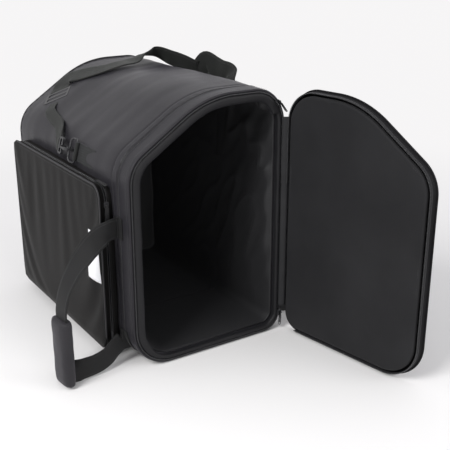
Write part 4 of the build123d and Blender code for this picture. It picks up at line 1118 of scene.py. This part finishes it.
def flat_strap(name, stations, width, thickness, material, cup=0.0):
    """Webbing swept along stations, with rounded edges, a slight cup and a wavy edge."""
    half, thin = width / 2, thickness / 2
    bend_a, bend_b = half - thin * 0.6, thin * 0.85
    flats = (-0.8, -0.4, 0.0, 0.4, 0.8)
    profile = [(-half, 0.0), (-bend_a, bend_b)] + [(half * share, thin) for share in flats]
    profile += [(bend_a, bend_b), (half, 0.0), (bend_a, -bend_b)]
    profile += [(-half * share, -thin) for share in flats] + [(-bend_a, -bend_b)]
    count = len(profile)
    points, faces, uvs, run = [], [], [], 0.0
    frames = frames_along(stations)
    for index, (spot, side, up) in enumerate(frames):
        before = run
        run += (spot - frames[max(index - 1, 0)][0]).length
        for a, b in profile:
            bow = cup * (a / half) ** 2 + WEBBING_RIPPLE * wander((run, a, 0), 0.025, 31)
            sway = 0.4 * WEBBING_RIPPLE * wander((run, 0, a), 0.04, 32)
            points.append(spot + side * (a + sway) + up * (b + bow))
        if index:
            for corner in range(count):
                on = (corner + 1) % count
                a, b = (index - 1) * count, index * count
                faces.append((a + corner, b + corner, b + on, a + on))
                wide = [profile[corner][0], profile[on][0]]
                uvs += [(wide[0], before), (wide[0], run), (wide[1], run), (wide[1], before)]
    faces.append(tuple(range(count)))
    faces.append(tuple(range(len(points) - count, len(points)))[::-1])
    uvs += [(a, 0.0) for a, _ in profile] + [(a, run) for a, _ in profile[::-1]]
    return mend_mesh(link_mesh(name, points, faces, uvs, material))


def edge_stitches(name, stations, width, surface, body, margin=0.003):
    """Rows of stitches near both edges of a flat strap, on both of its faces."""
    frames, reach = frames_along(stations), width / 2 - margin
    lines = [[spot + side * edge * reach + up * face * surface for spot, side, up in frames]
             for face in (1, -1) for edge in (-1, 1)]
    piece = beads(name, lines, WEBBING_STITCH, thread)
    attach(piece, body)


HANDLE_SEAM = (0.164, -0.209)
HALF_WIDTH = 0.160


def on_handle(side, turn, out, across, height):
    """A point of a handle: out from the wall, across towards +Y, and height, with its swing."""
    hinge_x, hinge_y = HANDLE_SEAM[0] * side, HANDLE_SEAM[1]
    spot = Vector((HALF_WIDTH * side + out * side - hinge_x, across, 0.0))
    spot.rotate(Matrix.Rotation(math.radians(turn), 3, "Z"))
    return Vector((hinge_x + spot[0], hinge_y + spot[1], height))


def handle_way(side, turn, out, across, height):
    """A direction on a handle, given like a point of on_handle."""
    way = Vector((out * side, across, height))
    way.rotate(Matrix.Rotation(math.radians(turn), 3, "Z"))
    return way


grip_nylon = cloth("grip_nylon", (0.0145, 0.0134, 0.0162), 0.55, dust=0.10, threads=1100.0, weave=0.4,
                   creases=0.3, sheen=0.15, sheen_tint=(0.88, 0.85, 0.95), specular=0.25)


def padded_sleeve(name, side, turn, low, high, wide, thick, far, body, node):
    """Foam sleeve round the webbing: crowned faces, pinched ends and thin side edges."""
    rows, count = 34, 40
    points, faces, uvs = [], [], []
    for row in range(rows):
        share = row / (rows - 1)
        z = low + (high - low) * share
        end = min(share, 1 - share)
        swell = 1 - 0.30 * math.exp(-end / 0.035)
        for spot in range(count):
            angle = 2 * math.pi * spot / count
            c, s = math.cos(angle), math.sin(angle)
            a = math.copysign(abs(c) ** 0.42, c) * wide / 2 * (1 - 0.05 * math.exp(-end / 0.05))
            b = math.copysign(abs(s) ** 0.62, s) * thick / 2 * swell
            b *= 1 - 0.38 * abs(a / (wide / 2)) ** 4
            wave = 0.0010 * wander((a, b, z), 0.022, 25) + 0.0012 * wander((a, b, z), 0.05, 26)
            points.append(on_handle(side, turn, far + b + math.copysign(wave, b), a, z))
    for row in range(rows - 1):
        for spot in range(count):
            on = (spot + 1) % count
            a, b = row * count, (row + 1) * count
            faces.append((a + spot, a + on, b + on, b + spot))
            along = [low + (high - low) * r / (rows - 1) for r in (row, row, row + 1, row + 1)]
            around = [wide * 2.6 * s / count for s in (spot, spot + 1, spot + 1, spot)]
            uvs += list(zip(around, along))
    faces.append(tuple(range(count))[::-1])
    faces.append(tuple(range((rows - 1) * count, rows * count)))
    uvs += [(0.0, 0.0)] * (2 * count)
    piece = mend_mesh(link_mesh(name, points, faces, uvs, grip_nylon))
    rounder = piece.modifiers.new("soft", "SUBSURF")
    rounder.levels = rounder.render_levels = 1
    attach(piece, body)
    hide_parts(node)


for side, turn, label_side in ((-1, 5.0, "left"), (1, 10.0, "right")):
    body = f"{label_side}_handle"
    upper = [(0.0053, 0.000, 0.262, 0), (0.020, -0.001, 0.2615, 0), (0.045, -0.003, 0.252, 25),
             (0.072, -0.004, 0.231, 50), (0.096, -0.003, 0.203, 72), (0.112, -0.001, 0.172, 85)]
    if label_side == "right":
        upper = [(0.0053, 0, 0.262, 0), (0.022, 0, 0.2600, 0), (0.048, 0, 0.249, 40),
                 (0.074, 0, 0.230, 65), (0.097, 0, 0.203, 80), (0.112, 0, 0.172, 88)]
    upper += [(0.119, 0, 0.142, 90), (0.1195, 0, 0.118, 90), (0.1195, 0, 0.100, 90)]
    lower = [(0.1195, 0.000, 0.040, 90), (0.1150, 0.000, 0.0265, 84), (0.1040, -0.002, 0.0225, 30),
             (0.086, -0.004, 0.0225, 8), (0.062, -0.005, 0.0235, 4), (0.038, -0.004, 0.030, 3),
             (0.020, -0.001, 0.041, 1), (0.0053, 0.000, 0.050, 0)]
    for part_of, run_points in (("upper", upper), ("lower", lower)):
        stations = []
        for out, across, height, twist in run_points:
            turned = math.radians(twist)
            stations.append((on_handle(side, turn, out, across, height),
                             handle_way(side, turn, 0, math.sin(turned), math.cos(turned))))
        strap_piece = flat_strap(f"{label_side}_handle_{part_of}_webbing", stations, 0.038, 0.0022,
                                 webbing_weave, cup=0.0006)
        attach(strap_piece, body)
        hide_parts(f"{label_side}_handle_webbing")
        edge_stitches(f"{label_side}_handle_{part_of}_stitches", stations, 0.038, 0.0013, body, margin=0.0042)
    padded_sleeve(f"{label_side}_handle_sleeve", side, turn, 0.0045, 0.1265, 0.049, 0.0235, 0.1195, body,
                  f"{label_side}_handle_grip")
for label_side in ("left", "right"):
    tab_weave = webbing_cloth(f"{label_side}_tab_weave", coordinates="Object")
    softened(f"{label_side}_handle_tab", f"{label_side}_handle_anchor", tab_weave, "case", cuts=4)


# ------------------------------------------------------------ shoulder strap
# Wide woven strap thrown over the top. Each end passes a flat buckle into narrower
# webbing, which is sewn round the eye of a swivel hook. Nothing holds it but gravity.
strap_weave = cloth("strap_weave", (0.0108, 0.0115, 0.0106), 0.66, dust=0.08, threads=820.0, rib=0.8,
                    weave=0.6, creases=0.1, sheen=0.12, sheen_tint=(0.92, 0.95, 0.9), specular=0.18)
ON_SHOULDER = (0.587, -0.707, 0.395)
wide_strap_way = [
    ((-0.0902, 0.1882, 0.4277), ON_SHOULDER), ((-0.0860, 0.1933, 0.4306), ON_SHOULDER),
    ((-0.0820, 0.1981, 0.4332), ON_SHOULDER), ((-0.0645, 0.1990, 0.4499), (-0.029, -0.999, -0.019)),
    ((-0.0448, 0.1779, 0.4589), (-0.534, -0.788, -0.306)),
    ((-0.0242, 0.1501, 0.4680), (-0.488, -0.848, -0.207)),
    ((0.0009, 0.1381, 0.4756), (-0.168, -0.985, -0.045)), ((0.0259, 0.1362, 0.4806), (0, -1, 0)),
    ((0.0560, 0.1362, 0.4845), (0, -1, 0)), ((0.0780, 0.1390, 0.4955), (-0.100, -0.970, 0.220)),
    ((0.1040, 0.1381, 0.4990), (-0.302, -0.820, 0.480)), ((0.1280, 0.1083, 0.4880), (-0.420, -0.420, 0.800)),
    ((0.1470, 0.0700, 0.4760), (-0.400, -0.200, 0.890)), ((0.1620, 0.0500, 0.4640), (-0.300, 0.250, 0.920)),
    ((0.1680, 0.0300, 0.4840), (-0.120, 0.000, 0.990)), ((0.1730, 0.0020, 0.4765), (0.000, -0.050, 1.000)),
    ((0.1734, -0.0210, 0.4720), (0.000, -0.200, 0.980)), ((0.1730, -0.0420, 0.4700), (0.000, -0.707, 0.707)),
    ((0.1666, -0.0544, 0.4660), (0, -0.956, 0.292)), ((0.1640, -0.0562, 0.4618), (0, -0.956, 0.292)),
    ((0.1626, -0.0579, 0.4565), (0, -0.956, 0.292))]
wide_strap = flat_strap("shoulder_strap_webbing", wide_strap_way, 0.048, 0.0026, strap_weave, cup=-0.0008)
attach(wide_strap, "case")
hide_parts("shoulder_strap")
edge_stitches("shoulder_strap_stitches", wide_strap_way, 0.048, 0.0015, "case", margin=0.005)

left_web_way = [
    ((-0.1704, 0.0083, 0.3637), (0.278, 0, 0.961)), ((-0.1704, 0.0153, 0.3637), (0.278, 0, 0.961)),
    ((-0.1615, 0.0290, 0.3769), (0.373, -0.588, 0.718)), ((-0.1492, 0.0560, 0.3881), (0.601, -0.342, 0.723)),
    ((-0.1425, 0.0971, 0.3942), (0.709, -0.242, 0.663)), ((-0.1337, 0.1383, 0.4019), ON_SHOULDER),
    ((-0.1155, 0.1574, 0.4101), ON_SHOULDER), ((-0.1102, 0.1638, 0.4136), ON_SHOULDER)]
right_web_way = [
    ((0.1736, -0.07, 0.3983), (0, 1, 0)), ((0.1736, -0.07, 0.4023), (0, 1, 0)),
    ((0.1631, -0.0692, 0.4196), (0, 0.956, -0.292)), ((0.1626, -0.0681, 0.4235), (0, 0.956, -0.292))]
left_web = flat_strap("left_narrow_webbing", left_web_way, 0.024, 0.0019, strap_weave)
right_web = flat_strap("right_narrow_webbing", right_web_way, 0.024, 0.0019, strap_weave)
for narrow, way, name in ((left_web, left_web_way, "left_narrow_stitches"),
                          (right_web, right_web_way, "right_narrow_stitches")):
    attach(narrow, "case")
    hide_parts("narrow_webs")
    edge_stitches(name, way, 0.024, 0.0012, "case", margin=0.003)
strap_tab_weave = cloth("strap_tab_weave", (0.0108, 0.0115, 0.0106), 0.66, dust=0.08, threads=820.0, rib=0.8,
                        weave=0.6, creases=0.1, sheen=0.12, coordinates="Object", specular=0.18)
softened("strap_tabs", "strap_anchor_tabs", strap_tab_weave, "case", cuts=4)


# ------------------------------------------------------------ rings, hooks and buckles
# Bent wire rings and cast swivel hooks with a sprung gate, and moulded buckles.
for metal_node in ("left_strap_ring", "right_strap_ring", "swivel_eyes", "left_strap_hook",
                   "right_strap_hook", "left_hook_gate", "right_hook_gate"):
    finish_node(metal_node, black_lacquer)
finish_node("strap_buckles", plastic("moulded_buckle", (0.020, 0.020, 0.021), 0.36, grain=0.15))


# ------------------------------------------------------------ floor, light and camera
# Pale sweep under soft window-like light from the left and above.
def seen_white(tree, shader_output, seen, end):
    """Camera, glossy and transmission rays see the plain pale tone; other rays the real light."""
    path = tree.nodes.new("ShaderNodeLightPath")
    either = chain(tree, "MAXIMUM", path.outputs["Is Camera Ray"], path.outputs["Is Glossy Ray"])
    any_of_three = chain(tree, "MAXIMUM", either, path.outputs["Is Transmission Ray"])
    mix = tree.nodes.new("ShaderNodeMixShader")
    tree.links.new(any_of_three, mix.inputs["Fac"])
    tree.links.new(shader_output, mix.inputs[1])
    tree.links.new(seen, mix.inputs[2])
    tree.links.new(mix.outputs[0], end)


PALE_WALL = (0.925, 0.915, 0.920, 1.0)
world = bpy.data.worlds.new("studio")
bpy.context.scene.world = world
world.use_nodes = True
sky = world.node_tree
soft_sky = dial(sky.nodes["Background"], Color=(0.95, 0.95, 1.0, 1.0), Strength=0.55)
white_wall = dial(sky.nodes.new("ShaderNodeBackground"), Color=PALE_WALL, Strength=1.0)
seen_white(sky, soft_sky.outputs[0], white_wall.outputs[0], sky.nodes["World Output"].inputs["Surface"])

floor_paint, paint, matt, far = new_material("pale_floor")
dial(matt, Base_Color=(0.85, 0.84, 0.83, 1.0), Roughness=0.9, Specular_IOR_Level=0.1)
glow = dial(paint.nodes.new("ShaderNodeEmission"), Color=PALE_WALL)
apart = paint.nodes.new("ShaderNodeVectorMath")
apart.operation = "LENGTH"
paint.links.new(far.outputs["Object"], apart.inputs[0])
fade = dial(paint.nodes.new("ShaderNodeMapRange"), From_Min=0.45, From_Max=1.7)
fade.interpolation_type = "SMOOTHSTEP"
paint.links.new(apart.outputs["Value"], fade.inputs["Value"])
blend = paint.nodes.new("ShaderNodeMixShader")
paint.links.new(fade.outputs["Result"], blend.inputs["Fac"])
paint.links.new(matt.outputs[0], blend.inputs[1])
paint.links.new(glow.outputs[0], blend.inputs[2])
seen_white(paint, matt.outputs[0], blend.outputs[0], paint.nodes["Material Output"].inputs["Surface"])

floor_mesh = bpy.data.meshes.new("floor")
floor_mesh.from_pydata([(-6, -6, 0), (6, -6, 0), (6, 6, 0), (-6, 6, 0)], [], [(0, 1, 2, 3)])
floor_mesh.materials.append(floor_paint)
floor = put("floor", floor_mesh)


def soft_lamp(name, place, aim, size, power):
    """A soft rectangular lamp at place, turned towards aim. power is in watts."""
    lamp = bpy.data.lights.new(name, "AREA")
    lamp.shape, lamp.size, lamp.size_y = "RECTANGLE", size[0], size[1]
    lamp.energy = power
    holder = put(name, lamp)
    holder.location = place
    holder.rotation_euler = (Vector(aim) - Vector(place)).to_track_quat("-Z", "Y").to_euler()


soft_lamp("key_window", (-2.4, -1.0, 2.3), (0, 0, 0.2), (1.3, 1.2), 86)
soft_lamp("top_soft", (0.2, 0.2, 2.8), (0, 0, 0.2), (2.2, 2.2), 9)
soft_lamp("right_fill", (1.6, -2.6, 1.5), (0.1, -0.3, 0.2), (1.6, 1.2), 20)
soft_lamp("front_fill", (0.1, -3.2, 0.9), (0, 0, 0.25), (1.4, 1.0), 16)

SENSOR_WIDTH = 36.0
FOCAL_PIXELS, PICTURE_PIXELS = 807.6, 450
camera_data = bpy.data.cameras.new("photo_view")
camera_data.sensor_width = SENSOR_WIDTH
camera_data.lens = FOCAL_PIXELS / PICTURE_PIXELS * SENSOR_WIDTH
camera = put("photo_view", camera_data)
camera.location = (-0.7218, -1.3869, 0.7329)
camera.rotation_euler = (math.radians(90 - 19.818), 0, math.radians(-33.435))
bpy.context.scene.camera = camera
bpy.context.scene.view_settings.view_transform = "Standard"
